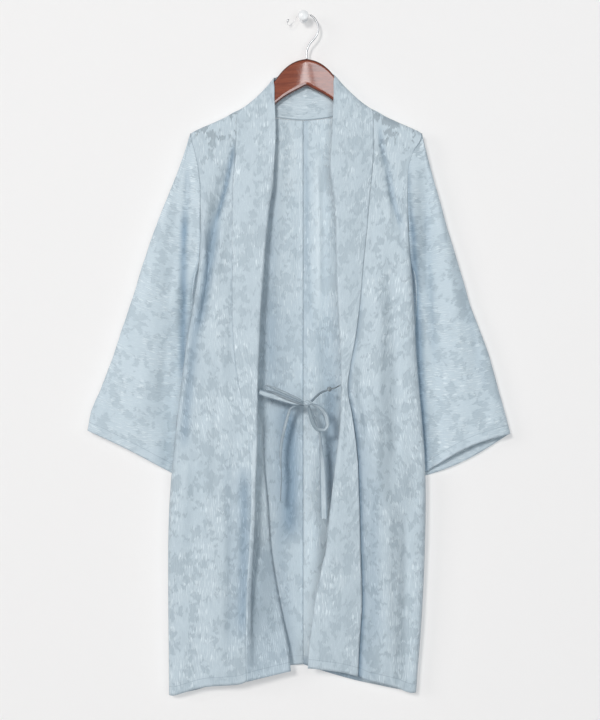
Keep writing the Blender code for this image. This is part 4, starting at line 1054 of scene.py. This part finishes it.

# %% [markdown]
# The two fronts hang from the top of the shoulder to the hem. Each is a straight cut, sewn to the collar band on one
# side, and to the sleeve and the back on the other.

# %% Fronts
# Each fine fold also gets painted shade, from its last column or from how far it falls back; below 0 a painted
# highlight
FINE_FOLDS.update({
    "front_right": folds(
        (-124, -222, -162, -385, 4.0, -5.0, 4, 0.85), (-120, -205, -136, -300, 4.0, 2.2, 2),
        (-156, -345, -194, -585, 8.5, -4.5, 2, 0.80), (-190, -530, -217, -800, 8.5, -4.5, -2, 0.62),
        (-141, -340, -172, -560, 7.0, 2.6, 2), (-107, -790, -112, -1150, 10.0, -3.5, 3, 0.75),
        (-226, -640, -232, -1160, 6.0, 1.6, -4), (-140, -760, -132, -1180, 8.0, -2.0, 6),
        (-176, -900, -182, -1200, 6.0, 1.8),
    ),
    "front_left": folds(
        (137, -196, 152, -275, 3.6, -3.6, -2, 0.5), (149, -256, 178, -390, 4.0, -3.8, -3, 0.5),
        (146, -262, 160, -420, 4.6, 1.8), (172, -300, 182, -460, 5.0, -1.4, 0, 0.1),
        (180, -480, 196, -860, 7.0, -1.2, -5, 0), (150, -560, 146, -900, 7.0, 1.0, 4),
        (132, -800, 136, -1160, 9.0, -1.4, -5, 0.2), (170, -900, 176, -1200, 7.0, 0.9),
    ),
})
ALONG = 0.005           # size of a cell of the refined net, in metres
ACROSS = 0.003
IN_SEAM = (3.2, 0.8)    # how far a front goes into the band's seam and the side seam, in millimetres
BELOW_WAIST = (-0.640, 0.12)    # height where the left band starts to stand off, and over which distance
AT_WAIST = (-0.440, 0.16)       # the same for where the painted shade on the panel starts


def front_rows(side):
    """Rows of a front, from the hem to the top of the arm."""
    columns = [(share, 0.0) for share in FRONT_SHARES] + [(1.0, roll) for roll in ROLL_STEPS]
    rows = [[front_point(side, share, roll, v) for share, roll in columns] for v in row_shares(side)]
    for angle in ARM_ANGLES:
        start = seam_out(side, angle) + SEAM
        rows.append([ridge_point(side, mix(start, SHOULDER_END, share), angle) for share, roll in columns])
    return [spread_ends(row, len(ROLL_STEPS)) for row in rows]


for side in SIDES:
    points = refine(net(front_rows(side)), ALONG, ACROSS)
    fade = edge_fade(points, 0.012) * below(points, -0.190, 0.05)
    points, painted_light_and_allowance = creased("front_" + side, points, fade)
    # The seam turns the panel's edge in behind the band
    across = widths(points)
    points[..., 1] += 0.0006 * below(points, -0.400, 0.08) * near(across, 0.006)
    if side == "left":
        # Below the waist the band stands well in front of the panel
        low, waist = below(points, *BELOW_WAIST), below(points, *AT_WAIST)
        points[..., 1] += 0.0040 * low * near(across, 0.011)
        points[..., 1] += 0.0012 * waist * near(across, 0.008)
        # Painted shade on the panel beside the band's edge, narrow from the waist and wide below it
        painted_light_and_allowance += 0.65 * waist * near(across, 0.0055) + 0.42 * low * near(across, 0.026)
        painted_light_and_allowance = np.clip(painted_light_and_allowance, -1, 1)
    drape(side + "_front", tuck(points, *IN_SEAM), body_cloth, "front_" + side, seams=("last",),
                          hems=("low",), painted_light_and_allowance=painted_light_and_allowance)

# %% [markdown]
# The two backs meet at the centre seam, whose allowance is pressed to the wearer's left and shows as a darker strip
# where the cloth lies double. At the top they end at the collar, and go over the hanger's arms to the shoulder.

# %% Backs
def back_rows(side):
    """Rows of a back, from the hem to the top of the arm. Columns that end at the neck stop there."""
    columns = back_columns(side)
    rows = [[back_point(side, column, v) for column in columns] for v in row_shares(side)]
    rows = [spread_ends(row, len(ROLL_STEPS)) for row in rows]
    last = rows[-1]
    for step in range(1, len(ARM_ANGLES) + 1):
        over = []
        for k, c in enumerate(columns):
            if c["angle"] == 180:
                over.append(last[k])
                continue
            angle = mix(180, max(c["angle"], 180 - ARM_ANGLES[-1]), step / len(ARM_ANGLES))
            over.append(ridge_point(side, c["out"], angle))
        rows.append(spread_ends(over, len(ROLL_STEPS)))
    return rows


# As on the fronts, the last column where given is painted shade, and below 0 a painted highlight
FINE_FOLDS["back_right"] = folds(
    (-56, -235, -62, -700, 11, -2.0, 0, 0.28), (-17, -190, -20, -330, 8, 0.5, 0, -0.55),
    (-27, -680, -26, -970, 15, -5.0, 3, 0.90), (-26, -250, -22, -560, 9, 2.4, 0, 0),
    (-48, -900, -26, -1200, 14, -2.0, 0, 0.30), (-54, -470, -42, -950, 25, 0, 0, 0.24),
    (-96, -300, -104, -900, 8, 1.6, -6), (-150, -300, -186, -760, 7, -1.8, 5), (-210, -640, -222, -1180, 8, 1.6),
)
FINE_FOLDS["back_left"] = folds(
    (9, -230, 15, -600, 4, -1.6, -2, 0.25), (25, -215, 30, -560, 6, 4.0, 0, -0.85),
    (52, -640, 50, -900, 10, -3.5, 0, 0.50), (50, -500, 54, -860, 22, 0, 0, 0.20),
    (9, -660, 8, -1220, 8, 0, 0, -0.40), (36, -960, 26, -1180, 6, 2.2, 0, 0), (84, -300, 92, -900, 8, 1.6, 6),
    (150, -300, 176, -760, 7, -1.8, -5), (190, -640, 196, -1180, 8, 1.6),
)
PRESSED = 0.0062        # width of the allowance at the centre seam, in metres
PRESSED_TO = -0.700     # height down to which it shows
BAND_HEM_AT = -1.156    # below this height the left back shows under the band's hem

for side in SIDES:
    points = refine(net(back_rows(side)), ALONG, ACROSS)
    fade = edge_fade(points, 0.016) * below(points, -0.215, 0.05)
    points, painted_light_and_allowance = creased("back_" + side, points, fade)
    centre_line = None
    if side == "left":
        # The pressed allowance shows down to the waist
        across = widths(points)
        high = soften((points[..., 2] - PRESSED_TO) / 0.15)
        centre_line = across + (1 - high) * 0.020
        painted_light_and_allowance = np.clip(painted_light_and_allowance + 0.26 * high * (1 - soften((across - PRESSED) / 0.0022)), -1, 1)
        # Painted shade on the back under the band's hem
        under = below(points, BAND_HEM_AT, 0.012) * soften((0.112 - points[..., 0]) / 0.010)
        painted_light_and_allowance = np.clip(painted_light_and_allowance + 0.55 * under, -1, 1)
    drape(side + "_back", tuck(points, 0.4, 0.0), back_cloth, "back_" + side, seams=("last",),
                          hems=("low",), marks=centre_line, painted_light_and_allowance=painted_light_and_allowance)

# %% [markdown]
# The collar band is one long strip, doubled, from one hem round the neck to the other. Below the chest it bends
# back lengthwise under itself, which is why a haori's fronts stand open with a rounded edge.

# %% Collar band
# How far the band's free edge has moved towards the neck as it goes over the arm, by the angle round it
EDGE_OVER_ARM = Table("angle shift", (0, 0), (60, 5.6), (90, 6.6), (120, 7.4), (150, 11.5), (180, SEAM_SHIFT))

EDGE_SINK = {"right": 0.0, "left": 5.0}     # how far it then sinks onto the wood


def collar_rows():
    """Rows of the band: up one front, over the hanger, round the neck and down the other front."""
    halves = {}
    for side in SIDES:
        rows = [band_row(side, v) for v in row_shares(side)]
        top = ridge_point(side, seam_out(side, 0), 0)
        shares = band_shares(side, top[2])
        for angle in OVER_ANGLES:
            start = seam_out(side, angle)
            free = NECK_OUT[side] - EDGE_OVER_ARM.read("shift", angle)
            row = [ridge_point(side, mix(start, free, share), angle) for share in shares]
            sink = EDGE_SINK[side] * math.sin(math.radians(angle))
            rows.append([(x, depth, height - sink * share ** 3) for share, (x, depth, height) in zip(shares, row)])
        rows += [neck_row(side, share / NECK_SHARES[-1]) for share in reversed(NECK_SHARES[1:-1])]
        halves[side] = rows
    return halves["right"] + [neck_row("right", 0.0)] + list(reversed(halves["left"]))


points = refine(net(collar_rows()), ALONG, 0.0025)
points = creased("collar", points, edge_fade(points, 0.012) * below(points, -0.200, 0.08))[0]
from_seam = widths(points)
at_neck = (np.abs(points[:, :1, 0] - HANGER_X * MM) < 0.050) & (points[:, :1, 2] > (NECK_HEIGHT - 6) * MM)
seam_mark = np.where(at_neck & (from_seam < 0.0040), from_seam * 0.55, FAR)
# Past its first bend the right half is turned in: painted light keeps it pale, and painted shade darkens it near the
# hem
turned_in = np.cumsum(np.diff(points[..., 0], axis=1, prepend=points[:, :1, 0] - MM) < -1e-5, axis=1) > 0
pale = -0.55 * below(points, -0.600, 0.10) + 0.80 * below(points, -0.860, 0.14)
pale = pale * turned_in * (points[..., 0] < HANGER_X * MM)
drape("collar_band", points, band_cloth, "collar", warp="long", marks=seam_mark, hems=("low", "high"),
                      painted_light_and_allowance=pale, shell=BAND_SHELL)

# %% [markdown]
# A sleeve is one straight length of cloth, folded along its top and sewn into a tube below the underarm. It hangs
# from the armhole, open at the cuff.

# %% Sleeves
# As on the fronts, the last column where given is painted shade, and below 0 a painted highlight
FINE_FOLDS["sleeve_right"] = folds(
    (-208, -262, -216, -420, 5, -2.4, 0, 0.35), (-216, -330, -219, -690, 6.5, -2.0, 0, 0.95),
    (-236, -520, -262, -760, 7, -1.2, -4, 0.1), (-290, -420, -352, -680, 9, -1.2, 5, 0),
    (-240, -200, -330, -860, 55, 0, 0, -0.22),
)
FINE_FOLDS["sleeve_left"] = folds(
    (183, -225, 200, -420, 5, -2.0, -2, 0.55), (195, -330, 226, -900, 6.5, -2.0, 0, 0.95),
    (222, -300, 240, -640, 6, -2.6, -4), (214, -470, 226, -800, 6, 1.8, 3), (250, -380, 300, -700, 8, 1.6),
    (276, -440, 336, -700, 8, -1.6),
)


ARMHOLE_TUCK = 1.2      # how far a sleeve goes into its armhole's seam, in millimetres


def sleeve_net(side):
    """Rows of a sleeve from the armhole to the cuff, each from the front edge over the top fold to the back edge."""
    loop = [(station, 1) for station in SLEEVE_STATIONS] + [(station, -1) for station in SLEEVE_STATIONS[-2::-1]]
    first = []
    for station, layer in loop:
        angle = station["angle"] if layer > 0 else 180 - station["angle"]
        x, depth, height = ridge_point(side, SHOULDER_END, angle)
        first.append((x + SIDES[side] * (SEAM + CLOTH * 0.5), depth, height))
    rows = [first]
    for height in sleeve_rows(side)[1:]:
        rows.append([sleeve_point(side, height, station, layer) for station, layer in loop])
    return rows


for side in SIDES:
    points = refine(net(sleeve_net(side)), 0.004, 0.003)
    down = lengths(points)
    fade = edge_fade(points, 0.012) * soften(down / 0.03) * soften((down[-1:] - down) / 0.02 + 0.3)
    front_only = soften(-normals(points)[..., 1] * SIDES[side] * 1.4)
    points, painted_light_and_allowance = creased("sleeve_" + side, points, fade, front_only)
    # At the underarm the front layer reaches further in, behind the body
    reach = ARMHOLE_TUCK + 7.5 * below(points[:, :1], -0.385, 0.05) * soften((points[:, :1, 2] + 0.640) / 0.06)
    points[:, 0, 1] += (reach[:, 0] - ARMHOLE_TUCK) * 0.15 * MM
    drape(side + "_sleeve", tuck(points, reach, 1.0), sleeve_cloth, "sleeve_" + side, warp="across",
                          seams=("low",), hems=("high",), painted_light_and_allowance=painted_light_and_allowance)

# %% [markdown]
# The ties are narrow tapes, folded and stitched from the same cloth. Each is turned as it hangs, knotted at the
# middle into a loose bow.

# %% Ties
TAPE_THICK = 1.2        # millimetres
TIE_HEIGHT = {"right": -680.0, "left": -667.0}     # where they leave the band
KNOT = dict(x=6.5, depth=61.0, height=-700.0, size=(16.5, 12.5, 10.5))
STOP = dict(x=46.5, depth=63.0, height=-674.5, size=(8.5, 8.0, 9.0))
TAPES = {    # rows of x, depth, height, width and facing
    "tie_right_strap": (
        (-77.6, 60.0, -680.0, 9.0, 12), (-66.0, 58.5, -684.0, 10.5, 12), (-50.0, 57.5, -688.5, 11.0, 12),
        (-30.0, 57.5, -694.5, 10.5, 14), (-14.0, 58.5, -699.5, 8.5, 20), (-2.45, 60.5, -701.3, 6.0, 30),
    ),
    "tie_right_loop": (
        (-0.1, 64.4, -697.1, 6.0, 62), (-20.0, 66.5, -687.5, 9.0, 58), (-42.0, 67.5, -677.5, 10.0, 62),
        (-58.0, 67.5, -670.5, 10.0, 72), (-66.5, 67.5, -668.0, 10.0, 84), (-71.0, 67.5, -672.0, 10.0, 88),
        (-67.0, 67.5, -676.5, 10.0, 84), (-56.0, 67.5, -679.5, 10.0, 72), (-40.0, 67.5, -686.5, 10.0, 62),
        (-20.0, 66.5, -694.5, 9.0, 58), (-0.9, 64.4, -701.8, 6.0, 62),
    ),
    "tie_right_tail": (
        (0.7, 56.6, -703.3, 5.0, 70), (-12.0, 50.5, -705.0, 8.0, 78), (-22.0, 49.0, -709.0, 10.5, 70),
        (-28.0, 48.5, -724.0, 11.0, 64), (-34.0, 48.0, -746.0, 11.0, 62), (-40.0, 47.5, -778.0, 11.0, 64),
        (-41.0, 47.0, -802.0, 11.0, 74), (-39.5, 47.0, -832.0, 11.0, 84), (-41.5, 47.0, -876.0, 11.0, 80),
    ),
    "tie_left_strap": (
        (14.0, 61.5, -697.0, 6.0, 50), (22.0, 61.5, -688.5, 8.5, 62), (31.0, 62.0, -681.0, 9.0, 66),
        (42.1, 62.6, -676.4, 6.5, 60),
    ),
    "tie_left_loop": (
        (14.2, 64.0, -701.5, 6.0, 56), (24.0, 66.5, -704.5, 10.0, 52), (34.0, 68.0, -712.0, 11.5, 50),
        (41.0, 68.5, -724.0, 12.0, 52), (43.0, 68.5, -738.0, 12.0, 58), (36.5, 68.5, -747.5, 12.0, 66),
        (26.5, 68.0, -747.0, 12.0, 62), (18.5, 67.5, -738.0, 12.0, 54), (13.5, 66.0, -724.0, 11.5, 52),
        (8.8, 63.5, -706.4, 7.0, 60),
    ),
    "tie_left_tail": (
        (9.3, 56.5, -705.1, 6.0, 60), (16.0, 54.5, -720.0, 10.0, 64), (24.0, 54.5, -736.0, 11.5, 72),
        (29.5, 54.5, -756.0, 12.0, 78), (32.0, 54.0, -782.0, 12.0, 60), (34.5, 53.5, -815.0, 12.0, 36),
        (36.0, 53.0, -860.0, 12.0, 18), (37.0, 53.0, -907.0, 12.0, 12),
    ),
}
CHI_WIRE = 2.4
CHI_PATH = ((51.1, 62.5, -673.8), (58.0, 61.0, -671.8))    # from the small knot towards the band


def tape_net(name, start=None):
    """Rings round a flat tape with rounded edges, along its table's path."""
    path = Table("step x depth height width facing", *((k, *row) for k, row in enumerate(TAPES[name])))
    count = len(path.rows) - 1
    steps = count * TIE_STEPS
    centres = [place(*(path.read(n, k / TIE_STEPS) for n in ("x", "depth", "height"))) for k in range(steps + 1)]
    if start is not None:
        shift = place(*start) - centres[0]
        for k in range(TIE_STEPS * 2):
            centres[k] += shift * (1 - k / TIE_STEPS / 2) ** 2
    rings = []
    for k, centre in enumerate(centres):
        ahead = (centres[min(k + 1, steps)] - centres[max(k - 1, 0)]).normalized()
        facing = math.radians(path.read("facing", k / TIE_STEPS))
        level = Vector((ahead.z, 0.0, -ahead.x)).normalized()
        across = level * math.cos(facing) + Vector((0.0, 1.0, 0.0)) * math.sin(facing)
        normal = ahead.cross(across).normalized() * TAPE_THICK * 0.5 * MM
        half = across * path.read("width", k / TIE_STEPS) * 0.5 * MM
        rings.append([centre + half * a + normal * b for a, b in TAPE_SECTION])
    return np.array([[tuple(p) for p in ring + ring[:1]] for ring in rings])


def band_crease(side, height, clear):
    """Where a tie leaves the band: this clear of the band's lengthwise fold."""
    section = band_section(side, height)
    k = next((k for k in range(1, len(section)) if section[k][0] < section[k - 1][0]), len(section))
    out, depth = section[k - 1]
    x = BODY[side].read("seam_x", height) - SIDES[side] * (out + CLOTH * 0.5 + clear)
    return x, BODY[side].read("seam_depth", height) + depth


TIE_STEPS = 8
TAPE_SECTION = ((-1, 0), (-0.93, 0.7), (-0.6, 1), (0, 0.8), (0.6, 1), (0.93, 0.7), (1, 0), (0.93, -0.7), (0.6, -1),
                (0, -0.8), (-0.6, -1), (-0.93, -0.7))
for name in TAPES:
    start = None
    if name == "tie_right_strap":
        start = (*band_crease("right", TIE_HEIGHT["right"], TAPE_THICK * 1.7), TIE_HEIGHT["right"])
    points = tape_net(name, start)
    full = np.linalg.norm(points[:, 0] - points[:, len(TAPE_SECTION) // 2], axis=1)
    from_edge = (1 - np.abs([a for a, b in TAPE_SECTION + TAPE_SECTION[:1]])) * full[:, None] * 0.28
    tie, side, part = name.split("_")
    piece = drape("_".join((side, tie, part)), points, tie_cloth, name, warp="long", marks=from_edge, smooth=60.0,
                  close=True)[0]

# %% [markdown]
# The knot of the bow is the same tape, drawn tight: a soft lump with the tape's turns showing on it. The left tie
# ends in a small knot of its own, which a thread loop holds to the band.

# %% Knots and the thread loop
def rounded_lump(name, where, replaced, turns, depth, finish):
    """A ball squeezed to the knot's size, with grooves between the turns of the tape."""
    shape = bmesh.new()
    bmesh.ops.create_icosphere(shape, subdivisions=5, radius=0.5)
    cut = shape.loops.layers.uv.new("cut")
    edges = shape.loops.layers.uv.new("edges")
    for face in shape.faces:
        for loop in face.loops:
            loop[cut].uv = (loop.vert.co.x * where["size"][0] * MM, loop.vert.co.z * where["size"][2] * MM)
            loop[edges].uv = (1, 1)
    for vert in shape.verts:
        co = vert.co.copy()
        groove = abs(math.sin((co.x * 0.8 + co.z * 0.55 + co.y * 0.3) * math.pi * turns))
        co *= 1 - depth * (1 - groove) ** 2 - 0.05 * noise.noise(co * 5.0)
        vert.co = place(where["x"] + co.x * where["size"][0], where["depth"] - co.y * where["size"][1],
                        where["height"] + co.z * where["size"][2])
    bmesh.ops.recalc_face_normals(shape, faces=shape.faces)
    piece = finished(name, shape, finish)
    declare(piece, replaced)
    print(name, "faces", len(piece.data.polygons))
    return piece


def smooth_line(points, per_span):
    """Points on a rounded line through the given ones."""
    line = []
    for i in range(len(points) - 1):
        p0, p1, p2, p3 = points[max(i - 1, 0)], points[i], points[i + 1], points[min(i + 2, len(points) - 1)]
        for k in range(per_span):
            t = k / per_span
            line.append(0.5 * (2 * p1 + (p2 - p0) * t + (2 * p0 - 5 * p1 + 4 * p2 - p3) * t ** 2
                               + (3 * p1 - p0 - 3 * p2 + p3) * t ** 3))
    line.append(points[-1])
    return line


def wire_net(points, radius_at, sides):
    """Rings round a wire. Each ring ends where it starts, so that the skin closes."""
    rings = []
    for k, point in enumerate(points):
        ahead = (points[min(k + 1, len(points) - 1)] - points[max(k - 1, 0)]).normalized()
        first = Vector((0.0, 1.0, 0.0))
        first = (first - ahead * first.dot(ahead)).normalized()
        second = ahead.cross(first)
        turns = [2 * math.pi * i / sides for i in range(sides)]
        ring = [point + (first * math.cos(a) + second * math.sin(a)) * radius_at(k) * MM for a in turns]
        rings.append([tuple(p) for p in ring + ring[:1]])
    return np.array(rings)


knot_piece = rounded_lump("bow_knot", KNOT, "tie_knot", 2.2, 0.22, tie_cloth)
stop_piece = rounded_lump("left_tie_stop", STOP, "tie_left_stop", 1.6, 0.25, knot_cloth)
x, depth = band_crease("left", TIE_HEIGHT["left"], CHI_WIRE * 0.5)
line = smooth_line([place(*point) for point in CHI_PATH] + [place(x, depth, TIE_HEIGHT["left"])], 6)
chi_piece = drape("left_tie_loop_thread", wire_net(line, lambda k: CHI_WIRE * 0.5, 12), knot_cloth, "tie_left_chi",
                  warp="long", close=True)[0]

# %% [markdown]
# The hanger is a flat piece of hardwood, sawn to the slope of the shoulders, rounded on its edges, stained red-brown
# and varnished. Its skin runs through sections from one tip to the other.

# %% Wood finish
EDGE_PAINTED_SHADE = 0.01       # how far the painted shade at the edges reaches, as the edges map counts it


def mahogany():
    finish, tree, shader = new_material("varnished_mahogany")
    here = here_of(tree)
    bend = node(tree, "ShaderNodeTexNoise", Vector=here, Scale=9.0, Detail=2.0).outputs["Color"]
    moved = vectors(tree, "MULTIPLY_ADD", bend, (0.02, 0.02, 0.02), here)
    grain = node(tree, "ShaderNodeTexNoise", Vector=stretched(tree, moved, 14.0, 260.0, 260.0), Scale=1.0, Detail=4.0,
                 Roughness=0.6).outputs[0]
    pores = node(tree, "ShaderNodeTexNoise", Vector=stretched(tree, moved, 60.0, 1400.0, 1400.0), Scale=1.0,
                 Detail=1.0).outputs[0]
    pores = step_of(tree, pores, 0.60, 0.70)
    colour = blend_of(tree, step_of(tree, grain, 0.35, 0.65), (0.300, 0.066, 0.024, 1), (0.205, 0.040, 0.015, 1))
    colour = blend_of(tree, times(tree, pores, 0.5), colour, (0.07, 0.012, 0.006, 1))
    # Painted shade darkens the rounded edges
    to_edge = parts_of(tree, map_of(tree, "edges"))[0]
    colour = blend_of(tree, step_of(tree, to_edge, 0.0, EDGE_PAINTED_SHADE, 0.80, 0.0), colour, (0.05, 0.010, 0.006, 1))
    tree.links.new(colour, shader.inputs["Base Color"])
    tree.links.new(step_of(tree, grain, 0.3, 0.7, 0.34, 0.42), shader.inputs["Roughness"])
    shader.inputs["Specular IOR Level"].default_value = 0.12
    shader.inputs["Coat Weight"].default_value = 1.0
    shader.inputs["Coat Roughness"].default_value = 0.035
    shader.inputs["Coat IOR"].default_value = 1.9
    bump = node(tree, "ShaderNodeBump", Strength=0.08, Distance=0.0001, Height=grain)
    tree.links.new(bump.outputs[0], shader.inputs["Normal"])
    return finish


wood = mahogany()
print("finish:", wood.name)

# %% Hanger
# Angles round its section. A pair close to each face's middle keeps the faces flat between their rounded edges
WOOD_TURNS = [half + k for half in (0, 180) for k in [0.3] + [9 * n + 4.5 for n in range(20)] + [179.7]]
stations = np.concatenate([np.linspace(0, 196, 79), np.linspace(197, 205, 9)])
rings, to_edge = [], []
for out in list(-stations[:0:-1]) + list(stations):
    top, bottom = (HANGER.read(n, abs(out)) for n in ("top", "bottom"))
    tip = min((ARM_END + 3.0 - abs(out)) / 12.0, 1.0)
    narrow = math.sqrt(max(1 - (1 - tip) ** 2, 0.05))
    middle = (top + bottom) * 0.5
    half_height = (top - bottom) * 0.5 * narrow
    half_thick = HANGER_THICK * 0.5 * mix(0.6, 1.0, narrow)
    corner = min(half_thick * 1.3, half_height)
    ring = []
    for turn in WOOD_TURNS:
        c, s = math.cos(math.radians(turn)), math.sin(math.radians(turn))
        round_y = math.copysign(abs(c) ** WOOD_SQUARE, c)
        round_z = math.copysign(abs(s) ** WOOD_SQUARE, s)
        z = middle + round_z * corner + math.copysign(half_height - corner, s)
        ring.append(tuple(place(HANGER_X + out, HANGER_DEPTH + half_thick * round_y, z)))
    rings.append(ring + ring[:1])
    rise = np.abs(np.sin(np.radians(WOOD_TURNS + WOOD_TURNS[:1])))
    to_edge.append(EDGE_PAINTED_SHADE * (1 - soften((rise - 0.28) / 0.22) * (1 - soften((rise - 0.975) / 0.02))))
drape("wooden_hanger", np.array(rings), wood, "hanger_wood", warp="long", marks=np.array(to_edge), smooth=50.0,
      close=True)

# %% [markdown]
# The hook is bright wire, bent cold over a form, with its tip curled back. The peg is a turned and painted knob. A
# profile spun round its axis gives it true roundness.

# %% Hook and peg
def plain(name, colour, roughness, metallic=0.0, coat=0.0):
    finish, tree, shader = new_material(name)
    mark = node(tree, "ShaderNodeTexNoise", Vector=here_of(tree), Scale=180.0, Detail=3.0).outputs[0]
    tree.links.new(step_of(tree, mark, 0.3, 0.7, roughness * 0.8, roughness * 1.2), shader.inputs["Roughness"])
    tone = blend_of(tree, step_of(tree, mark, 0.35, 0.75), (*colour, 1), (*(c * 0.94 for c in colour), 1))
    tree.links.new(tone, shader.inputs["Base Color"])
    shader.inputs["Metallic"].default_value = metallic
    shader.inputs["Coat Weight"].default_value = coat
    return finish


steel = plain("bright_wire", (0.56, 0.56, 0.57), 0.38, 1.0)
paint = plain("white_paint", (0.86, 0.86, 0.86), 0.38, 0.0, 0.3)
# Hook: the wire's middle line, from the wood up, over the peg and round to its curled tip
HOOK_PATH = (
    (6.5, -76.9), (6.5, -62.0), (11.5, -49.7), (22.0, -37.0), (27.0, -24.0), (23.6, -8.3), (13.0, 2.6),
    (0.0, 5.0), (-10.8, 0.6), (-19.5, -11.5), (-25.5, -15.8), (-29.5, -12.0), (-26.5, -4.5),
)
TIP_ROUNDED = 5.0       # points of the wire's line over which its tip is rounded off


def hook_radius(k):
    """Half the wire, rounded off at its tip. A known fault: the wire is also thin from its middle to near the tip."""
    left = min(k, len(line) - 1 - k)
    thin = math.sqrt(max(1 - (1 - left / TIP_ROUNDED) ** 2, 0.04)) if k > len(line) / 2 else 1.0
    return HOOK_WIRE * 0.5 * thin


line = smooth_line([place(x, HANGER_DEPTH, z) for x, z in HOOK_PATH], 12)
drape("wire_hook", wire_net(line, hook_radius, 20), steel, "hanger_hook", warp="long", close=True)

# The peg's profile, from its foot on the wall to the middle of its head: radius and distance from the wall
foot, stem, head, behind = PEG_FOOT * 0.5, PEG_STEM * 0.5, PEG_HEAD * 0.5, PEG_REACH - PEG_HEAD_THICK
PEG_PROFILE = (
    (0.0, 0.0), (foot - 0.4, 0.0), (foot, 0.4), (foot, 2.0), (stem + 0.6, 2.8), (stem, 3.8), (stem, behind),
    (head - 0.8, behind), (head - 0.2, behind + 0.3), (head, behind + 0.9), (head, PEG_REACH - 1.4),
    (head - 0.3, PEG_REACH - 0.6), (head - 1.2, PEG_REACH), (0.0, PEG_REACH),
)
shape = bmesh.new()
verts = [shape.verts.new(place(radius, depth, 0.0)) for radius, depth in PEG_PROFILE]
profile = [shape.edges.new(pair) for pair in zip(verts, verts[1:])]
bmesh.ops.spin(shape, geom=verts + profile, cent=(0, 0, 0), axis=(0, 1, 0), angle=2 * math.pi, steps=64,
               use_merge=True)
bmesh.ops.remove_doubles(shape, verts=shape.verts, dist=1e-6)
bmesh.ops.recalc_face_normals(shape, faces=shape.faces)
peg_piece = finished("round_peg", shape, paint, 35.0)
declare(peg_piece, "wall_peg")
print("peg faces", len(peg_piece.data.polygons))

# %% [markdown]

# %% [markdown]
# The garment hangs on a pale wall, above a grey floor that the camera doesn't see. The wall casts no shadow and is
# clear from behind. The key lamp, from the upper left, gives the narrow shadows at the hems, wide soft ones fill the
# rest, a thin strip draws the gloss on the wood, and a dim lamp behind the wall lights the back.

# %% Wall and floor
def stage_plane(name, size, centre, turn, colour):
    shape = bmesh.new()
    bmesh.ops.create_grid(shape, x_segments=1, y_segments=1, size=size)
    mesh = bpy.data.meshes.new(name)
    shape.to_mesh(mesh)
    shape.free()
    plane = bpy.data.objects.new(name, mesh)
    plane.location = centre
    plane.rotation_euler = turn
    bpy.context.scene.collection.objects.link(plane)
    finish, tree, shader = new_material(name)
    shader.inputs["Base Color"].default_value = (*colour, 1)
    shader.inputs["Roughness"].default_value = 0.95
    shader.inputs["Specular IOR Level"].default_value = 0.1
    mesh.materials.append(finish)
    plane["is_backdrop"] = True
    return tree, shader


tree, shader = stage_plane("wall", 4.0, (0, 0.0006, 0.6), (math.radians(90), 0, 0), (0.6055, 0.5875, 0.578))
shader.inputs["Emission Color"].default_value = (1, 1, 1, 1)
shader.inputs["Emission Strength"].default_value = 0.30
behind = node(tree, "ShaderNodeNewGeometry").outputs["Backfacing"]
shadow = node(tree, "ShaderNodeLightPath").outputs["Is Shadow Ray"]
clear = maths(tree, "MAXIMUM", behind, shadow)
tree.links.new(maths(tree, "SUBTRACT", 1.0, clear), shader.inputs["Alpha"])
stage_plane("floor", 4.0, (0, -2.0, -1.80), (0, 0, 0), (0.30, 0.30, 0.31))


# %% Lamps
def lamp(name, location, target, size, power, colour=(1, 1, 1), size_y=None):
    data = bpy.data.lights.new(name, "AREA")
    data.energy = power
    data.color = colour
    data.shape = "RECTANGLE" if size_y else "DISK"
    data.size = size
    if size_y:
        data.size_y = size_y
    thing = bpy.data.objects.new(name, data)
    thing.location = location
    thing.rotation_euler = (Vector(target) - Vector(location)).to_track_quat("-Z", "Y").to_euler()
    bpy.context.scene.collection.objects.link(thing)
    print(name, power, "W")


MIDDLE = (0, 0, -0.62)
lamp("key", (-2.40, -8.50, 1.80), MIDDLE, 1.80, 405.0, (1.0, 0.988, 0.97))
lamp("fill", (1.715, -6.0, -0.30), MIDDLE, 3.4, 120.0, (0.90, 0.965, 1.0), size_y=3.4)
lamp("strip", (0.022, -5.6, 0.85), (0.022, 0, -0.62), 0.026, 0.40, size_y=0.8)
lamp("wide", (-11.0, -8.0, 2.4), MIDDLE, 6.0, 400.0, (0.98, 0.99, 1.0), size_y=6.0)
lamp("back", (0.0, 2.6, 0.2), MIDDLE, 2.5, 26.0, size_y=2.5)
world = bpy.data.worlds.new("studio")
world.use_nodes = True
sky = world.node_tree.nodes["Background"].inputs
sky["Color"].default_value = (0.78, 0.89, 1.0, 1)
sky["Strength"].default_value = 0.12
bpy.context.scene.world = world
bpy.context.scene.view_settings.view_transform = "Standard"

# %% Sizes and finish
dressed_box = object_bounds()
for label, box in (("solids", solid_box), ("dressed", dressed_box)):
    print(label, [tuple(round(c, 4) for c in corner) for corner in box])
